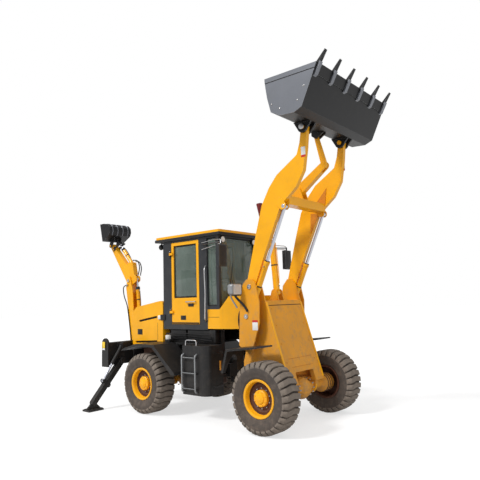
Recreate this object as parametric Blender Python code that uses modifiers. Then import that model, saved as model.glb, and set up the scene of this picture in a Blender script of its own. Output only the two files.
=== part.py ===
# Articulated backhoe loader: bucket raised, hoe folded up, stabilizers down.
# Metres, +Z up, +X to the front, the ground at z = 0.
# Places along X are measured from the rear axle. The whole machine hangs on one empty,
# which puts the middle of its bounding box over the origin.
import math

import bmesh
import bpy
from mathutils import Matrix, Vector

# Driving dimensions of the whole machine
WHEELBASE = 2.70
TRACK = 1.86
TYRE_RADIUS = 0.535
TYRE_WIDTH = 0.41
RIM_RADIUS = 0.262
STEER_PIVOT_X = 1.80
STEER_TURN = math.radians(35)
BOX_MIDDLE_X = 0.80

# Fits and facets
TOUCH = 0.0003
PIN_GAP = 0.0006
RUNNING_GAP = 0.006
PLAY = 0.01
OVERRUN = 0.05
BITE = 0.004
PIN_SIDES = 12
ROUND_SIDES = 16
WHEEL_SIDES = 32
ARC_STEPS = 3

# Finishes: colour, metallic, roughness
FINISHES = {
    "amber_paint": ((0.96, 0.50, 0.03, 1.0), 0.0, 0.35),
    "charcoal_paint": ((0.035, 0.037, 0.045, 1.0), 0.0, 0.45),
    "bucket_steel": ((0.06, 0.06, 0.065, 1.0), 0.3, 0.5),
    "tyre_rubber": ((0.10, 0.09, 0.085, 1.0), 0.0, 0.85),
    "bright_chrome": ((0.75, 0.75, 0.77, 1.0), 1.0, 0.15),
    "seat_vinyl": ((0.03, 0.03, 0.03, 1.0), 0.0, 0.7),
    "cast_iron": ((0.18, 0.06, 0.03, 1.0), 0.2, 0.6),
}

# Wheel and axle
RIM_FLANGE_RADIUS = 0.285
RIM_HALF_WIDTH = 0.165
RIM_WALL = 0.012
DISC_OUT = 0.06
HUB_RADIUS = 0.125
HUB_OUT = 0.15
SPINDLE_RADIUS = 0.05
SPINDLE_DEPTH = 0.10
TREAD_EDGE_RADIUS = 0.505
TREAD_HALF = 0.19
BULGE_RADIUS = 0.40
BEAD_HALF = 0.16
AXLE_TUBE_RADIUS = 0.075
AXLE_BALL_RADIUS = 0.18
AXLE_BALL_HALF = 0.20
BRAKE_RADIUS = 0.15
BRAKE_IN = 0.33
BRAKE_OUT = 0.10
AXLE_SEAT_HALF = 0.11

# Rear chassis
RAIL_Y = 0.34
RAIL_WIDTH = 0.09
RAIL_BOTTOM = 0.68
RAIL_TOP = 0.90
RAIL_FRONT = 1.52
BEAM_REAR = -1.31
BEAM_FRONT = -1.16
BEAM_HALF = 1.00
BEAM_BOTTOM = 0.78
BEAM_TOP = 1.22
END_PLATE = 0.03
END_PLATE_BOTTOM = 0.75
END_PLATE_TOP = 1.31
LUG_THICK = 0.045
UPPER_LUG_TOP = 1.005
LOWER_LUG_BOTTOM = 0.575
PIVOT_BOSS = 0.10
PIVOT_PIN = 0.04
CROSS_PLATE = 0.03
GEARBOX_REAR = 0.30
GEARBOX_FRONT = 0.85
GEARBOX_BOTTOM = 0.42

# Hood and engine
HOOD_REAR = -0.99
HOOD_FRONT = -0.06
HOOD_HALF = 0.53
HOOD_WALL = 0.02
HOOD_BOTTOM = 1.16
HOOD_TOP = 2.03
ENGINE_REAR = -0.90
ENGINE_FRONT = -0.15
ENGINE_TOP = 1.55

# Cab
CAB_REAR = -0.03
CAB_FRONT = 1.44
CAB_HALF = 0.53
CAB_FLOOR = 1.48
CAB_TOP = 3.17
CAB_WALL = 0.05
DOOR_REAR = 0.20
DOOR_FRONT = 0.95
DOOR_BOTTOM = 1.57
DOOR_TOP = 3.12
DOOR_GAP = 0.008
DOOR_GLASS_BOTTOM = 2.06
DOOR_FRAME = 0.06
ROOF_REAR = -0.22
ROOF_FRONT = 1.50
ROOF_HALF = 0.57
ROOF_THICK = 0.08
SILL_Z = 1.84
PILLAR_FRONT = 1.15
PILLAR_WIDTH = 0.06

# Cowl in front of the cab
COWL_FRONT = 1.95
COWL_BOTTOM = 1.50
COWL_SHOULDER = 1.83
COWL_TOP = 2.06
COWL_NOSE_HALF = 0.40
COWL_WALL = 0.02

# Tanks with steps
TANK_REAR = 0.93
TANK_FRONT = 1.52
TANK_IN = 0.56
TANK_OUT = 0.95
TANK_BOTTOM = 0.42
TANK_TOP = 1.24
TANK_ROUND = 0.14
STEP_RADIUS = 0.012
STEP_REACH = 0.05
STEP_REAR = 0.96
STEP_FRONT = 1.28

# Front frame
TOWER_OUT = 0.515
SIDE_PLATE = 0.025
EAR_OUT = 0.66
FRAME_BOTTOM = 0.62
TOWER_REAR = 1.95
TOWER_LENGTH = 0.90
TOWER_HEIGHT = 1.70
TOWER_PLATE = 0.02
EAR_REAR = 1.98
EAR_BOTTOM = 1.10
EAR_LENGTH = 0.44
EAR_HEIGHT = 1.22

# Loader linkage: places of its pins, along X and up
ARM_PIVOT = (2.23, 2.20)
ARM_IN = 0.535
ARM_OUT = 0.615
ARM_PIN = 0.035
BUCKET_PIN = (3.384, 4.615)
LIFT_BASE = (2.15, 1.72)
LIFT_HEAD = (2.945, 3.44)
TILT_BASE = (2.30, 2.10)
TILT_HEAD = (2.20, 3.52)
CRANK_PIVOT = (2.86, 3.78)
CRANK_END = (3.36, 4.13)
LINK_TOP = (3.23, 4.65)
LINK_PIN = 0.03
CROSS_BEAM = (2.92, 3.54)
CROSS_LENGTH = 0.18
CROSS_HEIGHT = 0.14
BUCKET_HALF = 1.12
ARM_CORNER = (2.10, 2.05)
ARM_LENGTH = 1.50
ARM_HEIGHT = 2.60

# Hoe: places of its pins, along X and up
SWING_X = -1.46
SWING_BOSS = 0.07
SWING_NECK = 0.05
SWING_PIN = 0.03
SWING_TOP = 0.93
SWING_BOTTOM = 0.64
BOOM_FOOT = (-1.60, 0.88)
BOOM_BASE = (-1.46, 1.11)
BOOM_HEAD = (-1.60, 1.78)
DIPPER_PIVOT = (-1.72, 2.49)
DIPPER_BASE = (-1.43, 1.74)
DIPPER_HEAD = (-1.52, 2.52)
DIPPER_TIP = (-2.38, 3.33)
CURL_BASE = (-1.68, 2.86)
CURL_HEAD = (-2.13, 3.35)
ROCKER_FOOT = (-2.30, 3.235)
ROCKER_TIE = (-2.06, 3.355)
CURL_LINK_TOP = (-2.245, 3.47)
HOE_PIN = 0.022
HOE_BUCKET_HALF = 0.30

# Stabilizers: places along Y and up
STAY_X = -1.07
STAY_HALF = 0.05
STAY_ROOT = (0.76, 0.86)
STAY_FOOT = (1.40, 0.14)
STAY_BASE = (0.74, 1.17)
STAY_HEAD = (1.18, 0.52)
STAY_PIN = 0.025
PAD_THICK = 0.03
PAD_HALF = 0.16

PARTS = bpy.data.collections.new("backhoe_loader")
CUTTERS = bpy.data.collections.new("cutters")


def points_from(shares, corner, size):
    """Outline points: a corner plus shares of a length and of a height."""
    return [(corner[0] + along * size[0], corner[1] + up * size[1]) for along, up in shares]


def arc_points(middle, radius, start, end, steps):
    """Points on an arc between two angles in degrees."""
    points = []
    for step in range(steps + 1):
        angle = math.radians(start + (end - start) * step / steps)
        points.append((middle[0] + radius * math.cos(angle), middle[1] + radius * math.sin(angle)))
    return points


def softened(points, radius, steps=ARC_STEPS, sharp=0):
    """The outline with its corners rounded by up to the radius, but for the first sharp ones."""
    outline = list(points[:sharp])
    count = len(points)
    for index in range(sharp, count):
        corner = Vector(points[index])
        before = Vector(points[index - 1]) - corner
        after = Vector(points[(index + 1) % count]) - corner
        half = before.angle(after) / 2
        reach = min(radius / math.tan(half), before.length / 2.2, after.length / 2.2)
        start = corner + before.normalized() * reach
        end = corner + after.normalized() * reach
        for step in range(steps + 1):
            share = step / steps
            outline.append(tuple(start.lerp(corner, share).lerp(corner.lerp(end, share), share)))
    return outline


def lever(places, radii, steps=5):
    """A bent bar with round ends along its places, as an outline."""
    spots = [Vector(place) for place in places]
    lines = [(after - before).normalized() for before, after in zip(spots, spots[1:])]
    sides = [Vector((-line.y, line.x)) for line in lines]
    left = []
    right = []
    for index in range(1, len(spots) - 1):
        normal = (sides[index - 1] + sides[index]).normalized()
        reach = normal * radii[index] / normal.dot(sides[index])
        left.append(tuple(spots[index] + reach))
        right.append(tuple(spots[index] - reach))
    first = math.degrees(math.atan2(lines[0].y, lines[0].x))
    last = math.degrees(math.atan2(lines[-1].y, lines[-1].x))
    outline = arc_points(spots[-1], radii[-1], last - 90, last + 90, steps) + left[::-1]
    return outline + arc_points(spots[0], radii[0], first + 90, first + 270, steps) + right


def bone(start, end, radius_start, radius_end):
    """A bar with two round ends, as an outline."""
    return lever((start, end), (radius_start, radius_end))


def pocket(profile, wall):
    """The room inside a bent sheet whose inside is on the left, run out past its mouth."""
    spots = [Vector(point) for point in profile]
    lines = [(after - before).normalized() for before, after in zip(spots, spots[1:])]
    sides = [Vector((-line.y, line.x)) for line in lines]
    inner = [spots[0] + sides[0] * wall - lines[0] * OVERRUN]
    for index in range(1, len(spots) - 1):
        normal = (sides[index - 1] + sides[index]).normalized()
        inner.append(spots[index] + normal * wall / normal.dot(sides[index]))
    inner.append(spots[-1] + sides[-1] * wall + lines[-1] * OVERRUN)
    return [tuple(point) for point in inner]


PLANES = {
    "XZ": Matrix(((1, 0, 0, 0), (0, 0, -1, 0), (0, 1, 0, 0), (0, 0, 0, 1))),
    "YZ": Matrix(((0, 0, 1, 0), (1, 0, 0, 0), (0, 1, 0, 0), (0, 0, 0, 1))),
    "XY": Matrix.Identity(4),
}
TURNS = {
    "+Y": Matrix(((1, 0, 0, 0), (0, 0, 1, 0), (0, -1, 0, 0), (0, 0, 0, 1))),
    "-Y": Matrix(((1, 0, 0, 0), (0, 0, -1, 0), (0, 1, 0, 0), (0, 0, 0, 1))),
}


def solid_from(curve_object):
    """Turns a curve object into a welded mesh object at its own place."""
    depsgraph = bpy.context.evaluated_depsgraph_get()
    mesh = bpy.data.meshes.new_from_object(curve_object.evaluated_get(depsgraph))
    work = bmesh.new()
    work.from_mesh(mesh)
    bmesh.ops.remove_doubles(work, verts=work.verts, dist=TOUCH / 10)
    bmesh.ops.transform(work, matrix=curve_object.matrix_world, verts=work.verts)
    bmesh.ops.recalc_face_normals(work, faces=work.faces)
    work.to_mesh(mesh)
    work.free()
    piece = bpy.data.objects.new(curve_object.name, mesh)
    CUTTERS.objects.link(piece)
    bpy.data.objects.remove(curve_object)
    return piece


def plate(name, points, low, high, plane="XZ"):
    """A flat outline with a thickness from low to high across its plane."""
    low, high = min(low, high), max(low, high)
    curve = bpy.data.curves.new(name, "CURVE")
    curve.dimensions = "2D"
    curve.fill_mode = "BOTH"
    curve.extrude = (high - low) / 2
    spline = curve.splines.new("POLY")
    spline.points.add(len(points) - 1)
    for point, place in zip(spline.points, points):
        point.co = (place[0], place[1], 0, 1)
    spline.use_cyclic_u = True
    holder = bpy.data.objects.new(name, curve)
    CUTTERS.objects.link(holder)
    middle = (low + high) / 2
    offsets = {"XZ": (0, middle, 0), "YZ": (middle, 0, 0), "XY": (0, 0, middle)}
    holder.matrix_world = Matrix.Translation(offsets[plane]) @ PLANES[plane]
    bpy.context.view_layer.update()
    return solid_from(holder)


def block(name, along, across, up, round_edge=0.0):
    """A box between two places on each axis, with its edges rounded where asked."""
    spans = [(min(span), max(span)) for span in (along, across, up)]
    work = bmesh.new()
    bmesh.ops.create_cube(work, size=1.0)
    scale = Matrix.Diagonal([high - low for low, high in spans] + [1.0])
    move = Matrix.Translation([(low + high) / 2 for low, high in spans])
    bmesh.ops.transform(work, matrix=move @ scale, verts=work.verts)
    if round_edge > 0:
        bmesh.ops.bevel(work, geom=list(work.edges), offset=round_edge, segments=2,
                        profile=0.5, affect="EDGES")
    mesh = bpy.data.meshes.new(name)
    work.to_mesh(mesh)
    work.free()
    piece = bpy.data.objects.new(name, mesh)
    CUTTERS.objects.link(piece)
    return piece


def bar(name, start, end, radius, sides=PIN_SIDES, turn_share=0.0):
    """A round bar between two places, turned about itself by a share of one facet."""
    start, end = Vector(start), Vector(end)
    line = end - start
    work = bmesh.new()
    bmesh.ops.create_cone(work, cap_ends=True, segments=sides, radius1=radius, radius2=radius,
                          depth=line.length)
    turn = line.to_track_quat("Z", "Y").to_matrix().to_4x4()
    facet = Matrix.Rotation(math.tau / sides * turn_share, 4, "Z")
    bmesh.ops.transform(work, matrix=Matrix.Translation((start + end) / 2) @ turn @ facet, verts=work.verts)
    mesh = bpy.data.meshes.new(name)
    work.to_mesh(mesh)
    work.free()
    piece = bpy.data.objects.new(name, mesh)
    CUTTERS.objects.link(piece)
    return piece


def pin(name, place, low, high, radius):
    """A round pin along Y at a place in x and z."""
    return bar(name, (place[0], low, place[1]), (place[0], high, place[1]), radius)


def drill(name, start, end, radius, sides=PIN_SIDES):
    """The cutter for a bar's hole: its flats face the bar's edges and clear them all round."""
    wide = (radius + PIN_GAP) / math.cos(math.pi / sides)
    return bar(name, start, end, wide, sides, 0.5)


def bore(name, place, low, high, radius):
    """The cutter for the hole of a pin along Y."""
    return drill(name, (place[0], low, place[1]), (place[0], high, place[1]), radius)


def pipe(name, places, radius, sides=2):
    """A round tube along a line of places."""
    curve = bpy.data.curves.new(name, "CURVE")
    curve.dimensions = "3D"
    curve.bevel_depth = radius
    curve.bevel_resolution = sides
    curve.use_fill_caps = True
    spline = curve.splines.new("POLY")
    spline.points.add(len(places) - 1)
    for point, place in zip(spline.points, places):
        point.co = (*place, 1)
    holder = bpy.data.objects.new(name, curve)
    CUTTERS.objects.link(holder)
    bpy.context.view_layer.update()
    return solid_from(holder)


def turned(name, rows, middle, toward, steps=WHEEL_SIDES, closed=False):
    """A profile of radius and offset, outer side top to bottom, turned about Y."""
    mesh = bpy.data.meshes.new(name)
    corners = [(radius, 0, offset) for radius, offset in rows]
    edges = [(index, index + 1) for index in range(len(rows) - 1)]
    if closed:
        edges.append((len(rows) - 1, 0))
    mesh.from_pydata(corners, edges, [])
    holder = bpy.data.objects.new(name, mesh)
    CUTTERS.objects.link(holder)
    screw = holder.modifiers.new("turn", "SCREW")
    screw.steps = steps
    screw.render_steps = steps
    screw.use_merge_vertices = True
    screw.merge_threshold = TOUCH / 10
    holder.matrix_world = Matrix.Translation(middle) @ TURNS[toward]
    bpy.context.view_layer.update()
    return solid_from(holder)


def combine(piece, others, operation):
    """Applies one Boolean after another to the piece and removes the other solids."""
    for other in others:
        modifier = piece.modifiers.new("join", "BOOLEAN")
        modifier.operation = operation
        modifier.solver = "EXACT"
        modifier.object = other
        bpy.context.view_layer.update()
        depsgraph = bpy.context.evaluated_depsgraph_get()
        mesh = bpy.data.meshes.new_from_object(piece.evaluated_get(depsgraph))
        work = bmesh.new()
        work.from_mesh(mesh)
        bmesh.ops.remove_doubles(work, verts=work.verts, dist=TOUCH / 10)
        bmesh.ops.dissolve_degenerate(work, edges=work.edges, dist=TOUCH / 10)
        work.to_mesh(mesh)
        work.free()
        piece.modifiers.clear()
        piece.data = mesh
        bpy.data.objects.remove(other)
    return piece


def merged(piece, *others):
    return combine(piece, others, "UNION")


def carved(piece, *others):
    return combine(piece, others, "DIFFERENCE")


MATERIALS = {}


def material_named(finish):
    """The Principled material of a finish, made once."""
    if finish not in MATERIALS:
        colour, metallic, roughness = FINISHES[finish]
        material = bpy.data.materials.new(finish)
        material.use_nodes = True
        shader = material.node_tree.nodes["Principled BSDF"]
        shader.inputs["Base Color"].default_value = colour
        shader.inputs["Metallic"].default_value = metallic
        shader.inputs["Roughness"].default_value = roughness
        material.diffuse_color = colour
        MATERIALS[finish] = material
    return MATERIALS[finish]


def finished(piece, name, finish, root, pivot=(0, 0, 0)):
    """Names the piece, sets its origin on its joint's axis and hangs it on the root."""
    piece.name = name
    piece.data.transform(Matrix.Translation(-Vector(pivot)))
    piece.matrix_world = Matrix.Identity(4)
    piece.data.materials.clear()
    piece.data.materials.append(material_named(finish))
    piece.data.shade_smooth()
    piece.data.set_sharp_from_angle(angle=math.radians(30))
    CUTTERS.objects.unlink(piece)
    PARTS.objects.link(piece)
    piece.parent = root
    piece.location = pivot
    return piece


# Wheels and axles


def wheel(root, name, x, side):
    """A tyre and its rim, centred on the wheel's axis."""
    middle = (x, side * TRACK / 2, TYRE_RADIUS)
    toward = "+Y" if side > 0 else "-Y"
    bead = RIM_RADIUS + TOUCH
    tyre_half = TYRE_WIDTH / 2
    tyre_rows = [(TYRE_RADIUS, TREAD_HALF * 0.5), (TYRE_RADIUS, -TREAD_HALF * 0.5),
                 (TREAD_EDGE_RADIUS, -TREAD_HALF), (BULGE_RADIUS, -tyre_half),
                 (RIM_FLANGE_RADIUS, -BEAD_HALF), (bead, -BEAD_HALF),
                 (bead, BEAD_HALF), (RIM_FLANGE_RADIUS, BEAD_HALF),
                 (BULGE_RADIUS, tyre_half), (TREAD_EDGE_RADIUS, TREAD_HALF)]
    tyre = turned("tyre", tyre_rows, middle, toward, closed=True)
    finished(tyre, name + "_tyre", "tyre_rubber", root, middle)
    inner = RIM_RADIUS - RIM_WALL
    lip = BEAD_HALF + TOUCH
    hole = (SPINDLE_RADIUS + PIN_GAP) / math.cos(math.pi / WHEEL_SIDES)
    rim_rows = [(0, HUB_OUT), (HUB_RADIUS, HUB_OUT), (HUB_RADIUS, DISC_OUT + RIM_WALL),
                (inner, DISC_OUT + RIM_WALL), (inner, RIM_HALF_WIDTH + RIM_WALL),
                (RIM_FLANGE_RADIUS, RIM_HALF_WIDTH + RIM_WALL), (RIM_FLANGE_RADIUS, lip),
                (RIM_RADIUS, lip), (RIM_RADIUS, -lip), (RIM_FLANGE_RADIUS, -lip),
                (RIM_FLANGE_RADIUS, -RIM_HALF_WIDTH - RIM_WALL), (inner, -RIM_HALF_WIDTH - RIM_WALL),
                (inner, DISC_OUT), (hole, DISC_OUT), (hole, SPINDLE_DEPTH), (0, SPINDLE_DEPTH)]
    rim = turned("rim", rim_rows, middle, toward)
    finished(rim, name + "_rim", "amber_paint", root, middle)


def axle(root, name, x):
    """An axle housing with its ball, brakes, spindles and seats, turned about Y."""
    half = TRACK / 2
    brake_in = half - BRAKE_IN
    brake_out = half - BRAKE_OUT
    end = half + SPINDLE_DEPTH - RUNNING_GAP
    ball = [(AXLE_BALL_RADIUS * math.cos(math.radians(angle)),
             AXLE_BALL_HALF * math.sin(math.radians(angle))) for angle in (60, 30, 0, -30, -60)]
    outer = [(0, end), (SPINDLE_RADIUS, end), (SPINDLE_RADIUS, brake_out), (BRAKE_RADIUS, brake_out),
             (BRAKE_RADIUS, brake_in), (AXLE_TUBE_RADIUS, brake_in - OVERRUN),
             (AXLE_TUBE_RADIUS, AXLE_BALL_HALF)]
    rows = outer + ball + [(radius, -offset) for radius, offset in reversed(outer)]
    housing = turned("housing", rows, (x, 0, TYRE_RADIUS), "+Y", steps=ROUND_SIDES)
    for side in (-1, 1):
        seat = block("seat", (x - AXLE_SEAT_HALF, x + AXLE_SEAT_HALF),
                     (side * (RAIL_Y - RAIL_WIDTH / 2), side * (RAIL_Y + RAIL_WIDTH / 2)),
                     (TYRE_RADIUS, AXLE_SEAT_TOP[name] - TOUCH))
        housing = merged(housing, seat)
    finished(housing, name, "amber_paint", root)


AXLE_SEAT_TOP = {"rear_axle": RAIL_BOTTOM, "front_axle": FRAME_BOTTOM + TOWER_PLATE}


# Rear frame


def rear_chassis(root):
    """Side rails, rear beam with its end plates, cross plates and the lugs of both pivots."""
    body = block("beam", (BEAM_REAR, BEAM_FRONT), (-BEAM_HALF, BEAM_HALF), (BEAM_BOTTOM, BEAM_TOP))
    others = []
    for side in (-1, 1):
        rail = (side * (RAIL_Y - RAIL_WIDTH / 2), side * (RAIL_Y + RAIL_WIDTH / 2))
        others.append(block("rail", (BEAM_FRONT - BITE, RAIL_FRONT), rail, (RAIL_BOTTOM, RAIL_TOP)))
        middle = (BEAM_REAR + BEAM_FRONT) / 2
        half = (BEAM_FRONT - BEAM_REAR) / 2 + END_PLATE
        top = arc_points((middle, END_PLATE_TOP - half), half, 0, 180, 8)
        outline = [(middle - half, END_PLATE_BOTTOM), (middle + half, END_PLATE_BOTTOM)] + top
        others.append(plate("end", outline, side * (BEAM_HALF - BITE), side * (BEAM_HALF + END_PLATE)))
        for x in (CAB_REAR + PLAY, PILLAR_FRONT + PILLAR_WIDTH):
            others.append(block("cab_mount", (x, x + PILLAR_WIDTH * 2), rail,
                                (RAIL_TOP - BITE, CAB_FLOOR - TOUCH)))
        others.append(block("stay_lug", (BEAM_FRONT - BITE, STAY_X + STAY_HALF + RUNNING_GAP + CROSS_PLATE),
                            (side * (STAY_ROOT[0] - OVERRUN), side * (STAY_ROOT[0] + OVERRUN)),
                            (STAY_ROOT[1] - OVERRUN, STAY_ROOT[1] + OVERRUN)))
        others.append(block("stay_lug", (BEAM_FRONT - BITE, STAY_X + STAY_HALF + RUNNING_GAP + CROSS_PLATE),
                            (side * (STAY_BASE[0] - OVERRUN), side * (STAY_BASE[0] + OVERRUN)),
                            (STAY_BASE[1] - OVERRUN, STAY_BASE[1] + OVERRUN)))
    inner = RAIL_Y - RAIL_WIDTH / 2 + BITE
    others.append(block("front_cross", (RAIL_FRONT - CROSS_PLATE * 2, RAIL_FRONT), (-inner, inner),
                        (LOWER_LUG_BOTTOM, UPPER_LUG_TOP)))
    others.append(block("hood_rear", (HOOD_REAR, HOOD_REAR + CROSS_PLATE), (-HOOD_HALF, HOOD_HALF),
                        (RAIL_TOP - BITE, HOOD_BOTTOM - TOUCH)))
    others.append(block("hood_front", (HOOD_FRONT - CROSS_PLATE, HOOD_FRONT), (-HOOD_HALF, HOOD_HALF),
                        (RAIL_TOP - BITE, HOOD_BOTTOM - TOUCH)))
    for bottom in (UPPER_LUG_TOP - LUG_THICK, LOWER_LUG_BOTTOM):
        outline = [(RAIL_FRONT - BITE, -inner), (STEER_PIVOT_X, -PIVOT_BOSS)]
        outline += arc_points((STEER_PIVOT_X, 0), PIVOT_BOSS, -90, 90, 8)
        outline += [(STEER_PIVOT_X, PIVOT_BOSS), (RAIL_FRONT - BITE, inner)]
        others.append(plate("steer_lug", outline, bottom, bottom + LUG_THICK, "XY"))
    for low, high in SWING_LUGS:
        outline = [(BEAM_REAR + BITE, SWING_NECK)] + arc_points((SWING_X, 0), SWING_BOSS, 45, 315, 8)
        outline.append((BEAM_REAR + BITE, -SWING_NECK))
        others.append(plate("swing_lug", outline, low, high, "XY"))
    body = merged(body, *others)
    # Slots in which the stabilizers and their cylinders turn, then the pins in them
    cutters = []
    pins = []
    for side in (-1, 1):
        for place in (STAY_ROOT, STAY_BASE):
            y = side * place[0]
            cutters.append(block("slot", (STAY_X - STAY_HALF - RUNNING_GAP, STAY_X + STAY_HALF + RUNNING_GAP),
                                 (y - OVERRUN * 2, y + OVERRUN * 2),
                                 (place[1] - OVERRUN * 2, place[1] + OVERRUN * 2)))
            pins.append(bar("pin", (STAY_X - STAY_HALF - RUNNING_GAP - BITE, y, place[1]),
                            (STAY_X + STAY_HALF + RUNNING_GAP + BITE, y, place[1]), STAY_PIN))
    body = carved(body, *cutters)
    body = merged(body, *pins)
    pivot = bar("pin", (STEER_PIVOT_X, 0, LOWER_LUG_BOTTOM - BITE),
                (STEER_PIVOT_X, 0, UPPER_LUG_TOP + BITE), PIVOT_PIN)
    swing = bar("pin", (SWING_X, 0, SWING_LUGS[0][0] - BITE),
                (SWING_X, 0, SWING_LUGS[1][1] + BITE), SWING_PIN)
    body = merged(body, pivot, swing)
    finished(body, "rear_chassis", "charcoal_paint", root)


SWING_LUGS = ((SWING_BOTTOM - LUG_THICK, SWING_BOTTOM), (SWING_TOP, SWING_TOP + LUG_THICK))


def gearbox(root):
    """The drive box that hangs between the rails."""
    inner = RAIL_Y - RAIL_WIDTH / 2 - TOUCH
    body = block("box", (GEARBOX_REAR, GEARBOX_FRONT), (-inner, inner), (GEARBOX_BOTTOM, RAIL_TOP), 0.04)
    finished(body, "gearbox", "cast_iron", root)


def engine(root):
    body = block("engine", (ENGINE_REAR, ENGINE_FRONT), (-RAIL_Y, RAIL_Y), (RAIL_TOP + TOUCH, ENGINE_TOP), 0.03)
    finished(body, "engine_block", "cast_iron", root)


HOOD_SHARES = ((0.0, 0.0), (1.0, 0.0), (1.0, 1.0), (0.12, 0.86), (0.0, 0.74))
SLOT_SHARES = ((0.24, 0.54, 0.80, 0.63), (0.12, 0.06, 0.80, 0.09))


def engine_hood(root):
    """The rear hood: a rounded shell that is open below, with two slots on each side."""
    size = (HOOD_FRONT - HOOD_REAR, HOOD_TOP - HOOD_BOTTOM)
    outline = softened(points_from(HOOD_SHARES, (HOOD_REAR, HOOD_BOTTOM), size), 0.08, sharp=2)
    body = plate("hood", outline, -HOOD_HALF, HOOD_HALF)
    inside = [(HOOD_REAR + HOOD_WALL + (x - HOOD_REAR) * (1 - 2 * HOOD_WALL / size[0]),
               HOOD_BOTTOM - OVERRUN + (z - HOOD_BOTTOM) * (1 + (OVERRUN - HOOD_WALL) / size[1]))
              for x, z in outline]
    hollow = plate("hollow", inside, -HOOD_HALF + HOOD_WALL, HOOD_HALF - HOOD_WALL)
    body = carved(body, hollow)
    for along, up, along_end, up_end in SLOT_SHARES:
        start = (HOOD_REAR + along * size[0], HOOD_BOTTOM + up * size[1])
        end = (HOOD_REAR + along_end * size[0], HOOD_BOTTOM + up_end * size[1])
        slot = plate("slot", bone(start, end, HOOD_WALL, HOOD_WALL), -HOOD_HALF - OVERRUN, HOOD_HALF + OVERRUN)
        body = carved(body, slot)
    finished(body, "engine_hood", "amber_paint", root)


# Cab


def cab_shell(root):
    """Floor, walls, pillars and window openings of the cab, with a bracket for each mirror."""
    side_view = [(CAB_REAR, CAB_FLOOR), (PILLAR_FRONT - TOUCH, CAB_FLOOR), (PILLAR_FRONT - TOUCH, SILL_Z),
                 (CAB_FRONT, SILL_Z), (CAB_FRONT, CAB_TOP), (CAB_REAR, CAB_TOP)]
    body = plate("cab", side_view, -CAB_HALF, CAB_HALF)
    inside = [(CAB_REAR + CAB_WALL, CAB_FLOOR + CAB_WALL), (PILLAR_FRONT + OVERRUN, CAB_FLOOR + CAB_WALL),
              (PILLAR_FRONT + OVERRUN, SILL_Z - OVERRUN), (CAB_FRONT - CAB_WALL, SILL_Z - OVERRUN),
              (CAB_FRONT - CAB_WALL, CAB_TOP + OVERRUN), (CAB_REAR + CAB_WALL, CAB_TOP + OVERRUN)]
    body = carved(body, plate("room", inside, -CAB_HALF + CAB_WALL, CAB_HALF - CAB_WALL))
    out = CAB_HALF + OVERRUN
    header = CAB_TOP - CAB_WALL
    door = block("door_hole", (DOOR_REAR, DOOR_FRONT), (-out, out), (DOOR_BOTTOM, DOOR_TOP))
    quarter = block("quarter", (PILLAR_FRONT, CAB_FRONT - PILLAR_WIDTH), (-out, out),
                    (SILL_Z + PILLAR_WIDTH, header))
    pane_half = CAB_HALF - PILLAR_WIDTH
    front = block("front", (CAB_FRONT - CAB_WALL - OVERRUN, CAB_FRONT + OVERRUN), (-pane_half, pane_half),
                  (SILL_Z + PILLAR_WIDTH, header))
    rear = block("rear", (CAB_REAR - OVERRUN, CAB_REAR + CAB_WALL + OVERRUN), (-pane_half, pane_half),
                 (HOOD_TOP + PILLAR_WIDTH, header))
    body = carved(body, door, quarter, front, rear)
    for side in (-1, 1):
        y = side * MIRROR_Y
        hold = side * (CAB_HALF - BITE)
        corner = (MIRROR_X, y, MIRROR_TOP)
        stay = bar("stay", (MIRROR_FOOT, hold, MIRROR_TOP + MIRROR_DROP), corner, MIRROR_TUBE)
        stem = bar("stem", (MIRROR_X, y, MIRROR_TOP + MIRROR_TUBE), (MIRROR_X, y, MIRROR_TOP - MIRROR_DROP * 3),
                   MIRROR_TUBE * 1.3)
        glass = block("mirror", (MIRROR_X - MIRROR_DEPTH / 2, MIRROR_X + MIRROR_DEPTH / 2),
                      (y - MIRROR_WIDTH / 2, y + MIRROR_WIDTH / 2),
                      (MIRROR_TOP - MIRROR_DROP - MIRROR_HEIGHT, MIRROR_TOP - MIRROR_DROP))
        body = merged(body, stay, stem, glass)
        for z in HINGE_HEIGHTS:
            hinge_y = side * (CAB_HALF + HINGE_OUT)
            for level in (z - HINGE_TALL, z + HINGE_TALL):
                ear = block("hinge", (HINGE_X - HINGE_TALL, HINGE_X + HINGE_RADIUS / 2),
                            (side * (CAB_HALF - BITE), hinge_y + side * HINGE_RADIUS * 0.8),
                            (level - HINGE_RADIUS / 2, level + HINGE_RADIUS / 2))
                body = merged(body, ear)
            body = merged(body, bar("pin", (HINGE_X, hinge_y, z - HINGE_TALL), (HINGE_X, hinge_y, z + HINGE_TALL),
                                    HINGE_RADIUS / 2))
    finished(body, "cab_shell", "charcoal_paint", root)


HINGE_X = 0.19
HINGE_OUT = 0.022
HINGE_RADIUS = 0.018
HINGE_TALL = 0.04
HINGE_HEIGHTS = (1.80, 2.90)
MIRROR_FOOT = 1.04
MIRROR_X = 1.88
MIRROR_Y = 0.93
MIRROR_TOP = 2.96
MIRROR_DROP = 0.05
MIRROR_HEIGHT = 0.36
MIRROR_WIDTH = 0.19
MIRROR_DEPTH = 0.07
MIRROR_TUBE = 0.011


def cab_roof(root):
    middle = (ROOF_REAR + ROOF_FRONT) / 2
    half = (ROOF_FRONT - ROOF_REAR) / 2
    outline = softened([(middle - half, -ROOF_HALF), (middle + half, -ROOF_HALF),
                        (middle + half, ROOF_HALF), (middle - half, ROOF_HALF)], 0.06)
    body = plate("roof", outline, CAB_TOP + TOUCH, CAB_TOP + ROOF_THICK, "XY")
    finished(body, "cab_roof", "amber_paint", root)


SEAT_X = 0.28
SEAT_HALF = 0.25
SEAT_DEPTH = 0.50
SEAT_Z = 1.98
SEAT_PAD = 0.12
BACK_TOP = 2.62
CONSOLE_X = 1.16
WHEEL_RING = 0.19


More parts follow.
